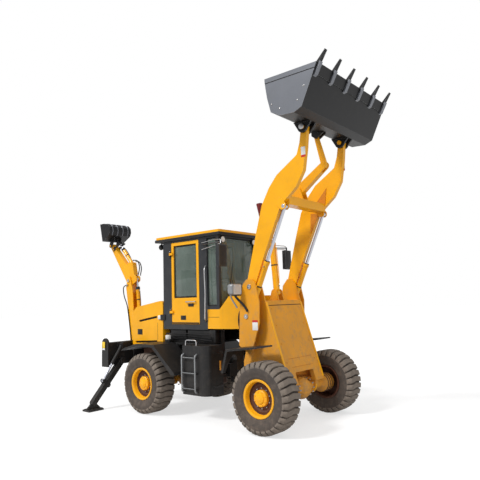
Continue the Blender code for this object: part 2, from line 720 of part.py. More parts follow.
def seat(root):
    floor = CAB_FLOOR + CAB_WALL + TOUCH
    body = block("cushion", (SEAT_X, SEAT_X + SEAT_DEPTH), (-SEAT_HALF, SEAT_HALF), (SEAT_Z - SEAT_PAD, SEAT_Z), 0.03)
    back = block("back", (SEAT_X - SEAT_PAD, SEAT_X + BITE), (-SEAT_HALF, SEAT_HALF), (SEAT_Z - SEAT_PAD, BACK_TOP), 0.03)
    stand = block("stand", (SEAT_X, SEAT_X + SEAT_DEPTH * 0.8), (-SEAT_HALF * 0.8, SEAT_HALF * 0.8),
                  (floor, SEAT_Z - SEAT_PAD + BITE))
    body = merged(body, back, stand)
    finished(body, "operator_seat", "seat_vinyl", root)


def console(root):
    floor = CAB_FLOOR + CAB_WALL + TOUCH
    top = (CONSOLE_X - WHEEL_RING, 2.34)
    body = block("dash", (CONSOLE_X - 0.14, CONSOLE_X - 0.02), (-SEAT_HALF * 0.7, SEAT_HALF * 0.7), (floor, 2.10), 0.02)
    column = bar("column", (CONSOLE_X - 0.10, 0, 2.05), (top[0], 0, top[1]), 0.03)
    ring_points = []
    line = Vector((top[0] - CONSOLE_X + 0.10, 0, top[1] - 2.05)).normalized()
    across = Vector((0, 1, 0))
    fore = line.cross(across)
    for step in range(ROUND_SIDES + 1):
        angle = math.tau * step / ROUND_SIDES
        ring_points.append(Vector((top[0], 0, top[1])) + WHEEL_RING * (math.cos(angle) * across + math.sin(angle) * fore))
    ring = closed_ring("ring", ring_points[:-1], 0.014)
    spokes = [bar("spoke", ring_points[0], ring_points[ROUND_SIDES // 2], 0.012),
              bar("spoke", (top[0], 0, top[1]), ring_points[ROUND_SIDES // 4], 0.012)]
    body = merged(body, column, ring, *spokes)
    finished(body, "steering_console", "seat_vinyl", root)


def closed_ring(name, places, radius):
    """A closed round hoop through a ring of places."""
    curve = bpy.data.curves.new(name, "CURVE")
    curve.dimensions = "3D"
    curve.bevel_depth = radius
    curve.bevel_resolution = 1
    spline = curve.splines.new("POLY")
    spline.points.add(len(places) - 1)
    for point, place in zip(spline.points, places):
        point.co = (*place, 1)
    spline.use_cyclic_u = True
    holder = bpy.data.objects.new(name, curve)
    CUTTERS.objects.link(holder)
    bpy.context.view_layer.update()
    return solid_from(holder)


def cowl(root):
    """The yellow cowl in front of the cab: a shell, open below and to the cab."""
    low = [(PILLAR_FRONT, COWL_BOTTOM), (COWL_FRONT, COWL_BOTTOM), (COWL_FRONT, COWL_TOP),
           (CAB_FRONT + 0.18, COWL_TOP), (CAB_FRONT + TOUCH, SILL_Z), (CAB_FRONT + TOUCH, SILL_Z - TOUCH),
           (PILLAR_FRONT, SILL_Z - TOUCH)]
    body = plate("cowl", low, -CAB_HALF, CAB_HALF)
    inside = [(PILLAR_FRONT - OVERRUN, COWL_BOTTOM - OVERRUN), (COWL_FRONT - COWL_WALL, COWL_BOTTOM - OVERRUN),
              (COWL_FRONT - COWL_WALL, COWL_TOP - COWL_WALL), (CAB_FRONT + 0.19, COWL_TOP - COWL_WALL),
              (CAB_FRONT + 0.01, SILL_Z - COWL_WALL), (PILLAR_FRONT - OVERRUN, SILL_Z - COWL_WALL)]
    taper = [(CAB_FRONT, CAB_HALF), (COWL_FRONT + OVERRUN, COWL_NOSE_HALF - OVERRUN * 0.2),
             (COWL_FRONT + OVERRUN, CAB_HALF + OVERRUN), (CAB_FRONT, CAB_HALF + OVERRUN)]
    hollow = plate("hollow", inside, -CAB_HALF + COWL_WALL, CAB_HALF - COWL_WALL)
    for side in (-1, 1):
        outline = [(x, side * (y - COWL_WALL)) for x, y in taper]
        hollow = carved(hollow, plate("taper", outline, COWL_BOTTOM - OVERRUN * 2, COWL_TOP + OVERRUN, "XY"))
    body = carved(body, hollow)
    for side in (-1, 1):
        outline = [(x, side * y) for x, y in taper]
        body = carved(body, plate("taper", outline, COWL_BOTTOM - OVERRUN, COWL_TOP + OVERRUN, "XY"))
    window = block("window", (PILLAR_FRONT - OVERRUN, CAB_FRONT - OVERRUN), (-CAB_HALF + COWL_WALL * 2, CAB_HALF - COWL_WALL * 2),
                   (SILL_Z - OVERRUN, SILL_Z + OVERRUN))
    body = carved(body, window)
    finished(body, "front_cowl", "amber_paint", root)


def door(root, name, side):
    """A door as thick as the wall, with its window cut, hung on its rear edge."""
    outline = [(DOOR_REAR + DOOR_GAP, DOOR_BOTTOM + DOOR_GAP), (DOOR_FRONT - DOOR_GAP, DOOR_BOTTOM + DOOR_GAP),
               (DOOR_FRONT - DOOR_GAP, DOOR_TOP - DOOR_GAP), (DOOR_REAR + DOOR_GAP, DOOR_TOP - DOOR_GAP)]
    inner, outer = side * (CAB_HALF - CAB_WALL), side * CAB_HALF
    body = plate("door", outline, inner, outer)
    hole = block("glass", (DOOR_REAR + DOOR_FRAME + DOOR_GAP, DOOR_FRONT - DOOR_FRAME - DOOR_GAP),
                 (inner - side * OVERRUN, outer + side * OVERRUN),
                 (DOOR_GLASS_BOTTOM, DOOR_TOP - DOOR_FRAME - DOOR_GAP))
    body = carved(body, hole)
    hinge_y = side * (CAB_HALF + HINGE_OUT)
    for z in HINGE_HEIGHTS:
        low, high = z - HINGE_TALL + HINGE_RADIUS / 2 + PLAY / 2, z + HINGE_TALL - HINGE_RADIUS / 2 - PLAY / 2
        knuckle = bar("knuckle", (HINGE_X, hinge_y, low), (HINGE_X, hinge_y, high), HINGE_RADIUS)
        strap = block("strap", (HINGE_X, DOOR_REAR + DOOR_FRAME), (hinge_y - side * PLAY, hinge_y + side * PLAY), (low + BITE, high - BITE))
        pad = block("pad", (DOOR_REAR + DOOR_GAP * 2, DOOR_REAR + DOOR_FRAME - BITE), (outer - side * BITE, hinge_y), (low + BITE * 2, high - BITE * 2))
        body = merged(body, knuckle, strap, pad)
        body = carved(body, drill("hole", (HINGE_X, hinge_y, low - OVERRUN), (HINGE_X, hinge_y, high + OVERRUN), HINGE_RADIUS / 2))
    finished(body, name, "amber_paint", root, (HINGE_X, hinge_y, 0))


# Tanks, steps and fenders


def tank_outline(side, grown=0.0):
    """The tank seen from above, with its rounded front corner, grown outwards where asked."""
    out, front, radius = TANK_OUT + grown, TANK_FRONT + grown, TANK_ROUND + grown
    outline = [(TANK_REAR, side * TANK_IN), (TANK_REAR, side * out), (front - radius, side * out)]
    for x, y in arc_points((front - radius, out - radius), radius, 75, 0, 5):
        outline.append((x, side * y))
    outline.append((front, side * TANK_IN))
    return outline


def step_tank(root, name, side):
    """A tank below the cab with a rounded front corner and the rungs of a ladder."""
    body = plate("tank", tank_outline(side), TANK_BOTTOM, TANK_TOP, "XY")
    reach = side * (TANK_OUT + STEP_REACH)
    root_y = side * (TANK_OUT - BITE)
    rungs = []
    for step in range(3):
        z = TANK_BOTTOM + (TANK_TOP - TANK_BOTTOM) * (step + 0.4) / 3.2
        path = [(STEP_REAR, root_y, z), (STEP_REAR, reach, z), (STEP_FRONT, reach, z), (STEP_FRONT, root_y, z)]
        rungs.append(pipe("rung", path, STEP_RADIUS, 1))
    hanger = block("hanger", (TANK_REAR + OVERRUN, TANK_FRONT - OVERRUN),
                   (side * (RAIL_Y + RAIL_WIDTH / 2 + TOUCH), side * (TANK_IN + BITE)),
                   (RAIL_BOTTOM, RAIL_BOTTOM + OVERRUN))
    body = merged(body, hanger, *rungs)
    finished(body, name, "charcoal_paint", root)


REAR_FENDER_SHARES = ((0.0, 0.72), (0.04, 0.80), (0.30, 1.0), (0.62, 1.0), (0.98, 0.10), (1.0, 0.0),
                      (0.94, 0.0), (0.60, 0.90), (0.31, 0.92), (0.06, 0.74))
FENDER_REAR = -0.62
DECK_REAR = 0.14
FENDER_LENGTH = TANK_REAR - OVERRUN - FENDER_REAR
FENDER_BOTTOM = 0.74
FENDER_TOP = 1.24
FENDER_OUT = 1.10
FENDER_IN = 0.54


def fender_platform(root):
    """Both rear fenders and the plate between them, over the rails."""
    size = (FENDER_LENGTH, FENDER_TOP - FENDER_BOTTOM)
    outline = points_from(REAR_FENDER_SHARES, (FENDER_REAR, FENDER_BOTTOM), size)
    body = block("deck", (DECK_REAR, FENDER_REAR + FENDER_LENGTH), (-FENDER_IN - BITE, FENDER_IN + BITE), (FENDER_TOP - 0.04, FENDER_TOP))
    for side in (-1, 1):
        body = merged(body, plate("fender", outline, side * FENDER_IN, side * FENDER_OUT))
        mount = (side * (RAIL_Y - RAIL_WIDTH / 2), side * (RAIL_Y + RAIL_WIDTH / 2))
        body = merged(body, block("mount", (0.40, 0.60), mount, (RAIL_TOP + TOUCH, FENDER_TOP - 0.04 + BITE)))
    finished(body, "fender_platform", "charcoal_paint", root)


# Front frame

TOWER_SHARES = ((0.0, 0.0), (1.0, 0.0), (0.54, 0.78), (0.45, 0.94), (0.36, 1.0), (0.25, 1.0),
                (0.14, 0.93), (0.10, 0.78), (0.10, 0.37), (0.0, 0.20))
EAR_SHARES = ((0.0, 0.12), (0.55, 0.0), (0.98, 0.42), (1.0, 0.70), (0.84, 0.95), (0.70, 1.0),
              (0.42, 1.0), (0.24, 0.93), (0.08, 0.66))
FRONT_LUGS = ((UPPER_LUG_TOP - 2 * LUG_THICK - RUNNING_GAP, UPPER_LUG_TOP - LUG_THICK - RUNNING_GAP),
              (LOWER_LUG_BOTTOM + LUG_THICK + RUNNING_GAP, LOWER_LUG_BOTTOM + 2 * LUG_THICK + RUNNING_GAP))


def front_frame(root):
    """The tower: side plates, the sloped front plate, ears for the arms and the pivot lugs."""
    corner = (TOWER_REAR, FRAME_BOTTOM + TOWER_PLATE)
    size = (TOWER_LENGTH, TOWER_HEIGHT)
    side_outline = softened(points_from(TOWER_SHARES, corner, size), 0.03, 2)
    ear_outline = softened(points_from(EAR_SHARES, (EAR_REAR, EAR_BOTTOM), (EAR_LENGTH, EAR_HEIGHT)), 0.03, 2)
    tower_in = TOWER_OUT - SIDE_PLATE
    body = None
    for side in (-1, 1):
        wall = plate("side", side_outline, side * tower_in, side * TOWER_OUT)
        ear = plate("ear", ear_outline, side * (EAR_OUT - SIDE_PLATE), side * EAR_OUT)
        web = block("web", (EAR_REAR + SIDE_PLATE, EAR_REAR + 2 * SIDE_PLATE), (side * (TOWER_OUT - BITE), side * (EAR_OUT - SIDE_PLATE + BITE)),
                    (EAR_BOTTOM + 0.16, EAR_BOTTOM + 0.70))
        arm_pin = pin("pin", ARM_PIVOT, side * (TOWER_OUT - BITE), side * (EAR_OUT - BITE), ARM_PIN)
        lift_pin = pin("pin", LIFT_BASE, side * (TOWER_OUT - BITE), side * (EAR_OUT - BITE), LINK_PIN)
        wall = merged(wall, ear, web, arm_pin, lift_pin)
        body = wall if body is None else merged(body, wall)
    top = points_from(TOWER_SHARES, corner, size)[2]
    foot = points_from(TOWER_SHARES, corner, size)[1]
    front = [foot, top, (top[0] - TOWER_PLATE * 4, top[1]), (foot[0] - TOWER_PLATE * 4, foot[1])]
    slope = plate("slope", front, -tower_in - BITE, tower_in + BITE)
    notch = block("notch", (foot[0] - 0.5, foot[0] + OVERRUN), (-0.26, 0.26), (FRAME_BOTTOM - OVERRUN, FRAME_BOTTOM + 0.20))
    slope = carved(slope, notch)
    lid = block("lid", (top[0] - 0.24, top[0] - BITE), (-tower_in - BITE, tower_in + BITE), (top[1] - TOWER_PLATE * 2, top[1] - BITE))
    floor = block("floor", (TOWER_REAR + 0.04, WHEELBASE + 0.12), (-tower_in - BITE, tower_in + BITE), (FRAME_BOTTOM + TOWER_PLATE, FRAME_BOTTOM + 3 * TOWER_PLATE))
    opening = block("opening", (WHEELBASE - AXLE_BALL_RADIUS - OVERRUN, WHEELBASE + 0.3), (-0.26, 0.26), (FRAME_BOTTOM - OVERRUN, FRAME_BOTTOM + 0.20))
    floor = carved(floor, opening)
    cross = block("cross", (TOWER_REAR + 0.04, TOWER_REAR + 0.04 + CROSS_PLATE), (-tower_in - BITE, tower_in + BITE),
                  (FRAME_BOTTOM + TOWER_PLATE, UPPER_LUG_TOP))
    pieces = [slope, lid, floor, cross]
    for low, high in FRONT_LUGS:
        outline = [(TOWER_REAR + 0.04 + BITE, PIVOT_BOSS * 2), (STEER_PIVOT_X, PIVOT_BOSS)]
        outline += arc_points((STEER_PIVOT_X, 0), PIVOT_BOSS, 90, 270, 8)
        outline += [(STEER_PIVOT_X, -PIVOT_BOSS), (TOWER_REAR + 0.04 + BITE, -PIVOT_BOSS * 2)]
        pieces.append(plate("lug", outline, low, high, "XY"))
    for side in (-1, 1):
        ear_in = TILT_BARREL + RUNNING_GAP
        outline = bone((TILT_BASE[0], top[1] - TOWER_PLATE), TILT_BASE, 0.10, 0.06)
        pieces.append(plate("tilt_ear", outline, side * ear_in, side * (ear_in + SIDE_PLATE)))
    pieces.append(pin("tilt_pin", TILT_BASE, -TILT_BARREL - RUNNING_GAP - BITE, TILT_BARREL + RUNNING_GAP + BITE, LINK_PIN))
    body = merged(body, *pieces)
    body = carved(body, drill("bore", (STEER_PIVOT_X, 0, 0), (STEER_PIVOT_X, 0, COWL_BOTTOM), PIVOT_PIN))
    finished(body, "front_frame", "amber_paint", root, (STEER_PIVOT_X, 0, 0))


TILT_BARREL = 0.055
TILT_ROD = 0.027
LIFT_BARREL = 0.045
LIFT_ROD = 0.026
HOE_BARREL = 0.042
HOE_ROD = 0.020

FRONT_FENDER_SHARES = ((0.0, 0.0), (0.06, 0.0), (0.20, 0.80), (1.0, 0.94), (1.0, 1.0), (0.16, 0.88))
FRONT_FENDER_REAR = WHEELBASE - 0.74
FRONT_FENDER_LENGTH = 0.70
FRONT_FENDER_BOTTOM = 0.86
FRONT_FENDER_TOP = 1.28


def front_fender(root, name, side):
    """A wedge over the tyre, scooped out behind where the tank comes in a full turn of the hinge."""
    size = (FRONT_FENDER_LENGTH, FRONT_FENDER_TOP - FRONT_FENDER_BOTTOM)
    outline = points_from(FRONT_FENDER_SHARES, (FRONT_FENDER_REAR, FRONT_FENDER_BOTTOM), size)
    body = plate("fender", outline, side * (EAR_OUT + TOUCH), side * FENDER_OUT)
    tank = tank_outline(side, PLAY * 2)
    scoop = plate("scoop", tank, TANK_BOTTOM, TANK_TOP + PLAY, "XY")
    pivot = Matrix.Translation((STEER_PIVOT_X, 0, 0))
    scoop.data.transform(pivot @ Matrix.Rotation(-side * STEER_TURN, 4, "Z") @ pivot.inverted())
    body = carved(body, scoop)
    finished(body, name, "charcoal_paint", root, (STEER_PIVOT_X, 0, 0))


LAMP_X = 2.00
LAMP_Y = 0.775
LAMP_Z = 2.165
LAMP_WIDTH = 0.22
LAMP_HEIGHT = 0.18
LAMP_DEPTH = 0.13


def headlamp(root, name, side):
    y = side * LAMP_Y
    body = block("lamp", (LAMP_X - LAMP_DEPTH / 2, LAMP_X + LAMP_DEPTH / 2), (y - LAMP_WIDTH / 2, y + LAMP_WIDTH / 2),
                 (LAMP_Z - LAMP_HEIGHT / 2, LAMP_Z + LAMP_HEIGHT / 2), 0.02)
    foot = (2.19, side * (EAR_OUT + 0.02), 1.79)
    stalk = pipe("stalk", [(foot[0], foot[1], foot[2]), (LAMP_X, side * (EAR_OUT + 0.05), LAMP_Z - LAMP_HEIGHT / 2 + 0.01)], 0.016)
    base = block("base", (foot[0] - 0.04, foot[0] + 0.04), (side * (EAR_OUT + TOUCH), side * (EAR_OUT + 0.03)), (foot[2] - 0.04, foot[2] + 0.04))
    body = merged(body, stalk, base)
    finished(body, name, "charcoal_paint", root, (STEER_PIVOT_X, 0, 0))


# Loader

ARM_SHARES = ((0.04, 0.04), (0.10, 0.03), (0.14, 0.055), (0.293, 0.262), (0.52, 0.54), (0.727, 0.638), (0.827, 0.731),
              (0.868, 0.862), (0.892, 0.985), (0.82, 0.985), (0.795, 0.90), (0.753, 0.831), (0.487, 0.735), (0.38, 0.665),
              (0.273, 0.562), (0.18, 0.388), (0.035, 0.09))


def in_bone(place, radius):
    return arc_points(place, radius, 0, 360 - 360 / PIN_SIDES, PIN_SIDES - 1)


def loader_arms(root):
    """Two arms joined by a cross beam that carries the bell crank between two plates."""
    outline = softened(points_from(ARM_SHARES, ARM_CORNER, (ARM_LENGTH, ARM_HEIGHT)), 0.04, 3)
    body = block("cross", (CROSS_BEAM[0] - CROSS_LENGTH / 2, CROSS_BEAM[0] + CROSS_LENGTH / 2),
                 (-ARM_IN - BITE, ARM_IN + BITE),
                 (CROSS_BEAM[1] - CROSS_HEIGHT / 2, CROSS_BEAM[1] + CROSS_HEIGHT / 2))
    for side in (-1, 1):
        arm = plate("arm", outline, side * ARM_IN, side * ARM_OUT)
        tip = pin("pin", BUCKET_PIN, side * (ARM_IN - 0.07), side * (ARM_OUT + 0.07), ARM_PIN)
        for spot, radius in ((ARM_PIVOT, 0.075), (BUCKET_PIN, 0.055)):
            arm = merged(arm, plate("boss", in_bone(spot, radius), side * (ARM_IN - BITE / 2), side * (ARM_OUT + BITE / 2)))
        arm = merged(arm, tip)
        arm = carved(arm, bore("hole", ARM_PIVOT, side * (ARM_IN - OVERRUN), side * (ARM_OUT + OVERRUN), ARM_PIN))
        body = merged(body, arm)
        eye_half = LIFT_EYE_HALF + RUNNING_GAP
        for inner, outer in ((ARM_IN - LUG_WALL, LIFT_Y - eye_half), (LIFT_Y + eye_half, ARM_OUT + LUG_WALL)):
            body = merged(body, plate("lug", LIFT_LUG, side * inner, side * outer))
        ear_in = CRANK_HALF + RUNNING_GAP
        ear = plate("ear", bone(CROSS_BEAM, CRANK_PIVOT, CROSS_HEIGHT / 2, CRANK_EAR), side * ear_in,
                    side * (ear_in + SIDE_PLATE))
        body = merged(body, ear)
    crank_pin = pin("pin", CRANK_PIVOT, -CRANK_HALF - RUNNING_GAP - BITE, CRANK_HALF + RUNNING_GAP + BITE, LINK_PIN)
    body = merged(body, crank_pin)
    finished(body, "loader_arms", "amber_paint", root, (ARM_PIVOT[0], 0, ARM_PIVOT[1]))


LIFT_Y = 0.575
LIFT_EYE_HALF = 0.03
LUG_WALL = 0.012
LIFT_LUG = ((2.80, 3.48), (2.90, 3.39), (2.96, 3.39), (2.99, 3.42), (2.99, 3.47), (2.93, 3.56), (2.86, 3.60))
CRANK_HALF = 0.05
CRANK_EAR = 0.06
CRANK_RADII = (0.06, 0.085, 0.06)
LINK_RADII = (0.05, 0.036)
LINK_HALF = 0.022


def ram_room(base, head, half):
    """The strip that a ram sweeps between its two pins."""
    line = (Vector(head) - Vector(base)).normalized()
    side = Vector((-line.y, line.x)) * half
    start = Vector(base) - line * OVERRUN
    end = Vector(head) + line * OVERRUN
    return [tuple(start + side), tuple(start - side), tuple(end - side), tuple(end + side)]


def bell_crank(root):
    """The bent lever on the cross beam: the tilt ram pushes its tail, its nose pulls the link."""
    outline = lever((TILT_HEAD, CRANK_PIVOT, CRANK_END), CRANK_RADII)
    body = plate("crank", outline, -CRANK_HALF, CRANK_HALF)
    slot = LINK_HALF + RUNNING_GAP
    body = carved(body, plate("slot", in_bone(CRANK_END, 0.12), -slot, slot))
    body = merged(body, pin("pin", CRANK_END, -slot - BITE, slot + BITE, LINK_PIN))
    eye = TILT_EYE_HALF + RUNNING_GAP
    body = carved(body, plate("slot", in_bone(TILT_HEAD, 0.14), -eye, eye))
    body = carved(body, bore("hole", CRANK_PIVOT, -CRANK_HALF - OVERRUN, CRANK_HALF + OVERRUN, LINK_PIN))
    finished(body, "bell_crank", "amber_paint", root, (CRANK_PIVOT[0], 0, CRANK_PIVOT[1]))


TILT_EYE_HALF = 0.03


def bucket_link(root):
    body = plate("link", bone(CRANK_END, LINK_TOP, *LINK_RADII), -LINK_HALF, LINK_HALF)
    body = carved(body, bore("hole", CRANK_END, -LINK_HALF - OVERRUN, LINK_HALF + OVERRUN, LINK_PIN))
    finished(body, "bucket_link", "amber_paint", root, (CRANK_END[0], 0, CRANK_END[1]))


BUCKET_CORNER = (3.04, 4.66)
BUCKET_SIZE = (0.98, 0.68)
BUCKET_SHARES = ((0.0, 0.99), (0.01, 0.80), (0.04, 0.52), (0.10, 0.18), (0.26, 0.05), (0.52, 0.02),
                 (0.66, 0.10), (0.95, 0.96))
BUCKET_WALL = 0.02
TOOTH_TIP = (4.10, 5.47)
TOOTH_COUNT = 6


def loader_bucket(root):
    """The bucket: a bent wrapper, two side plates, teeth and the ears for its pins."""
    profile = points_from(BUCKET_SHARES, BUCKET_CORNER, BUCKET_SIZE)
    body = plate("shell", profile, -BUCKET_HALF, BUCKET_HALF)
    for side in (-1, 1):
        for low, high in ((ARM_OUT + 0.012, ARM_OUT + 0.042), (ARM_IN - 0.042, ARM_IN - 0.012)):
            ear = [(BUCKET_PIN[0] - 0.16, BUCKET_PIN[1] + 0.10)] + arc_points(BUCKET_PIN, 0.09, 200, 340, 8) + [(BUCKET_PIN[0] + 0.20, BUCKET_PIN[1] + 0.10)]
            body = merged(body, plate("ear", ear, side * low, side * high))
        ear_in = LINK_HALF + RUNNING_GAP
        ear = [(LINK_TOP[0] - 0.08, LINK_TOP[1] + 0.30), (LINK_TOP[0] - 0.06, LINK_TOP[1]), (LINK_TOP[0] + 0.02, LINK_TOP[1] - 0.06), (LINK_TOP[0] + 0.16, LINK_TOP[1] + 0.02)]
        body = merged(body, plate("ear", ear, side * ear_in, side * (ear_in + SIDE_PLATE)))
    room_half = BUCKET_HALF - BUCKET_WALL
    body = carved(body, plate("room", pocket(profile, BUCKET_WALL), -room_half, room_half))
    edge = Vector(TOOTH_TIP) - Vector(profile[-1])
    for index in range(TOOTH_COUNT):
        y = -BUCKET_HALF + 0.06 + (2 * BUCKET_HALF - 0.12) * index / (TOOTH_COUNT - 1)
        base = Vector(profile[-1]) - edge * 0.3
        across = Vector((-edge.y, edge.x)).normalized() * 0.03
        outline = [tuple(base - across), TOOTH_TIP, tuple(base + across)]
        body = merged(body, plate("tooth", outline, y - 0.035, y + 0.035))
    for side in (-1, 1):
        body = carved(body, bore("hole", BUCKET_PIN, side * (ARM_IN - 0.08), side * (ARM_OUT + 0.08), ARM_PIN))
    finished(body, "loader_bucket", "bucket_steel", root, (BUCKET_PIN[0], 0, BUCKET_PIN[1]))


# Rams


EYE_SHARE = 1.0
ROD_EYE_SHARE = 1.5


def place_on(plane, along, across, up):
    """A place from its spot in a plane and its distance across it."""
    return (along, across, up) if plane == "XZ" else (across, along, up)


def ram(root, name, base, head, barrel_radius, rod_radius, barrel_length, draw_in, eye_half, across, plane, base_pin):
    """A barrel on its base pin and the rod that slides in it, each its own piece."""
    line = (Vector(head) - Vector(base))
    line.normalize()
    gland = Vector(base) + line * barrel_length
    body_start = Vector(base) + line * barrel_radius * 0.8
    start = place_on(plane, body_start.x, across, body_start.y)
    end = place_on(plane, gland.x, across, gland.y)
    barrel = bar("barrel", start, end, barrel_radius, ROUND_SIDES)
    eye = plate("eye", in_bone(base, barrel_radius * EYE_SHARE), across - eye_half, across + eye_half, plane)
    barrel = merged(barrel, eye)
    bottom = Vector(base) + line * (barrel_radius + base_pin)
    past = Vector(base) + line * (barrel_length + OVERRUN)
    barrel = carved(barrel, drill("bore", place_on(plane, bottom.x, across, bottom.y),
                                  place_on(plane, past.x, across, past.y), rod_radius, ROUND_SIDES))
    hole = drill("hole", place_on(plane, base[0], across - eye_half - OVERRUN, base[1]),
                 place_on(plane, base[0], across + eye_half + OVERRUN, base[1]), base_pin)
    barrel = carved(barrel, hole)
    pivot = place_on(plane, base[0], across, base[1])
    finished(barrel, name + "_barrel", "amber_paint" if plane == "XZ" else "charcoal_paint", root, pivot)
    inside = Vector(base) + line * (barrel_radius + base_pin + RUNNING_GAP + draw_in)
    stop = Vector(head) - line * rod_radius
    rod = bar("rod", place_on(plane, inside.x, across, inside.y), place_on(plane, stop.x, across, stop.y), rod_radius, ROUND_SIDES)
    rod = merged(rod, plate("eye", in_bone(head, rod_radius * ROD_EYE_SHARE), across - eye_half, across + eye_half, plane))
    finished(rod, name + "_rod", "bright_chrome", root, pivot)


# Hoe


def swing_post(root):
    """The post that swings on the rear beam and carries the boom between two cheeks."""
    body = bar("hub", (SWING_X, 0, SWING_BOTTOM + RUNNING_GAP), (SWING_X, 0, SWING_TOP - RUNNING_GAP), SWING_BOSS, ROUND_SIDES)
    bridge = block("bridge", (BOOM_FOOT[0], SWING_X - 0.04), (-BOOM_OUT - 0.03, BOOM_OUT + 0.03), (SWING_BOTTOM + 0.02, BOOM_FOOT[1] - 0.10))
    body = merged(body, bridge)
    for side in (-1, 1):
        low, high = side * (BOOM_OUT + RUNNING_GAP), side * (BOOM_OUT + RUNNING_GAP + SIDE_PLATE)
        cheek = [(BOOM_FOOT[0] - 0.07, BOOM_FOOT[1] - 0.24), (SWING_X - 0.06, BOOM_FOOT[1] - 0.24), (SWING_X - 0.06, SWING_TOP + 0.05),
                 (BOOM_BASE[0] + 0.06, BOOM_BASE[1] - 0.02), (BOOM_BASE[0] + 0.05, BOOM_BASE[1] + 0.05), (BOOM_BASE[0] - 0.04, BOOM_BASE[1] + 0.06),
                 (BOOM_FOOT[0] - 0.07, BOOM_FOOT[1] + 0.04)]
        body = merged(body, plate("cheek", cheek, low, high))
    body = merged(body, pin("pin", BOOM_FOOT, -BOOM_OUT - RUNNING_GAP - BITE, BOOM_OUT + RUNNING_GAP + BITE, STAY_PIN))
    body = merged(body, pin("pin", BOOM_BASE, -BOOM_OUT - RUNNING_GAP - BITE, BOOM_OUT + RUNNING_GAP + BITE, HOE_PIN))
    body = carved(body, drill("bore", (SWING_X, 0, 0), (SWING_X, 0, SWING_TOP), SWING_PIN))
    finished(body, "swing_post", "amber_paint", root, (SWING_X, 0, 0))


BOOM_OUT = 0.085
BOOM_PLATE = 0.02
BOOM_CORNER = (-1.86, 0.82)
BOOM_SIZE = (0.36, 1.76)
BOOM_SHARES = ((0.62, 0.0), (0.83, 0.0), (0.86, 0.10), (0.94, 0.30), (0.86, 0.62), (0.78, 0.84), (0.52, 1.0),
               (0.26, 1.0), (0.16, 0.86), (0.36, 0.62), (0.50, 0.30))
BACK_SHARES = ((0.60, 0.12), (0.665, 0.12), (0.545, 0.30), (0.405, 0.62), (0.275, 0.80), (0.22, 0.78), (0.35, 0.60),
               (0.495, 0.30))


def hoe_boom(root):
    """The boom: two side plates and a back plate, open towards the machine for its ram."""
    outline = softened(points_from(BOOM_SHARES, BOOM_CORNER, BOOM_SIZE), 0.03, 2)
    body = plate("boom", outline, -BOOM_OUT, BOOM_OUT)
    inner = BOOM_OUT - BOOM_PLATE
    channel_low = block("room", (BOOM_BASE[0] - 0.5, BOOM_BASE[0] + 0.5), (-inner, inner), (BOOM_FOOT[1] - 0.2, DIPPER_PIVOT[1] - 0.25))
    back = plate("back", points_from(BACK_SHARES, BOOM_CORNER, BOOM_SIZE), -inner - BITE, inner + BITE)
    fork = block("fork", (DIPPER_PIVOT[0] - 0.4, DIPPER_PIVOT[0] + 0.4), (-inner, inner), (DIPPER_PIVOT[1] - 0.30, DIPPER_PIVOT[1] + 0.4))
    body = carved(body, channel_low, fork)
    body = merged(body, back)
    body = merged(body, pin("pin", DIPPER_PIVOT, -inner - BITE, inner + BITE, STAY_PIN))
    for side in (-1, 1):
        lug = bone((DIPPER_BASE[0] - 0.16, DIPPER_BASE[1] - 0.02), DIPPER_BASE, 0.06, 0.04)
        body = merged(body, plate("lug", lug, side * (HOE_BARREL + RUNNING_GAP), side * (BOOM_OUT - BITE)))
    reach = HOE_BARREL + RUNNING_GAP + BITE
    body = merged(body, pin("pin", DIPPER_BASE, -reach, reach, HOE_PIN))
    body = carved(body, bore("hole", BOOM_FOOT, -BOOM_OUT - OVERRUN, BOOM_OUT + OVERRUN, STAY_PIN))
    finished(body, "hoe_boom", "amber_paint", root, (BOOM_FOOT[0], 0, BOOM_FOOT[1]))


DIPPER_HALF = 0.055
DIPPER_BOSS = 0.045
DIPPER_EYE_ROOM = 0.10
CURL_ROOM = 0.055
DIPPER_CORNER = (-2.44, 2.38)
DIPPER_SIZE = (0.98, 1.02)
DIPPER_SHARES = ((0.66, 0.04), (0.80, 0.0), (0.98, 0.09), (0.99, 0.17), (0.90, 0.24), (0.84, 0.50), (0.74, 0.52),
                 (0.62, 0.46), (0.10, 0.96), (0.05, 0.98), (0.01, 0.94), (0.02, 0.90))

SWEEP_SHARES = ((0.50, -0.02), (0.50, -0.13), (1.06, -0.13))


def hoe_dipper(root):
    """The dipper: a tapered box, forked for both of its rams."""
    outline = points_from(DIPPER_SHARES, DIPPER_CORNER, DIPPER_SIZE)
    body = plate("dipper", softened(outline, 0.03, 2), -DIPPER_HALF, DIPPER_HALF)
    gap = LINK_HALF + RUNNING_GAP
    sweep = arc_points(DIPPER_PIVOT, DIPPER_BOSS, 20, -71, 6) + points_from(SWEEP_SHARES, DIPPER_CORNER, DIPPER_SIZE)
    sweep += arc_points(DIPPER_HEAD, DIPPER_EYE_ROOM, 0, 160, 6)
    body = carved(body, plate("sweep", sweep, -gap, gap),
                  plate("slot", ram_room(CURL_BASE, CURL_HEAD, CURL_ROOM), -gap * 1.8, gap * 1.8))
    body = merged(body, pin("pin", CURL_BASE, -gap * 1.8 - BITE, gap * 1.8 + BITE, HOE_PIN))
    body = merged(body, pin("pin", ROCKER_FOOT, -ROCKER_OUT, ROCKER_OUT, HOE_PIN))
    body = merged(body, pin("pin", DIPPER_TIP, -BUCKET_EAR_OUT - BITE, BUCKET_EAR_OUT + BITE, HOE_PIN))
    body = carved(body, bore("hole", DIPPER_PIVOT, -DIPPER_HALF - OVERRUN, DIPPER_HALF + OVERRUN, STAY_PIN))
    finished(body, "hoe_dipper", "amber_paint", root, (DIPPER_PIVOT[0], 0, DIPPER_PIVOT[1]))


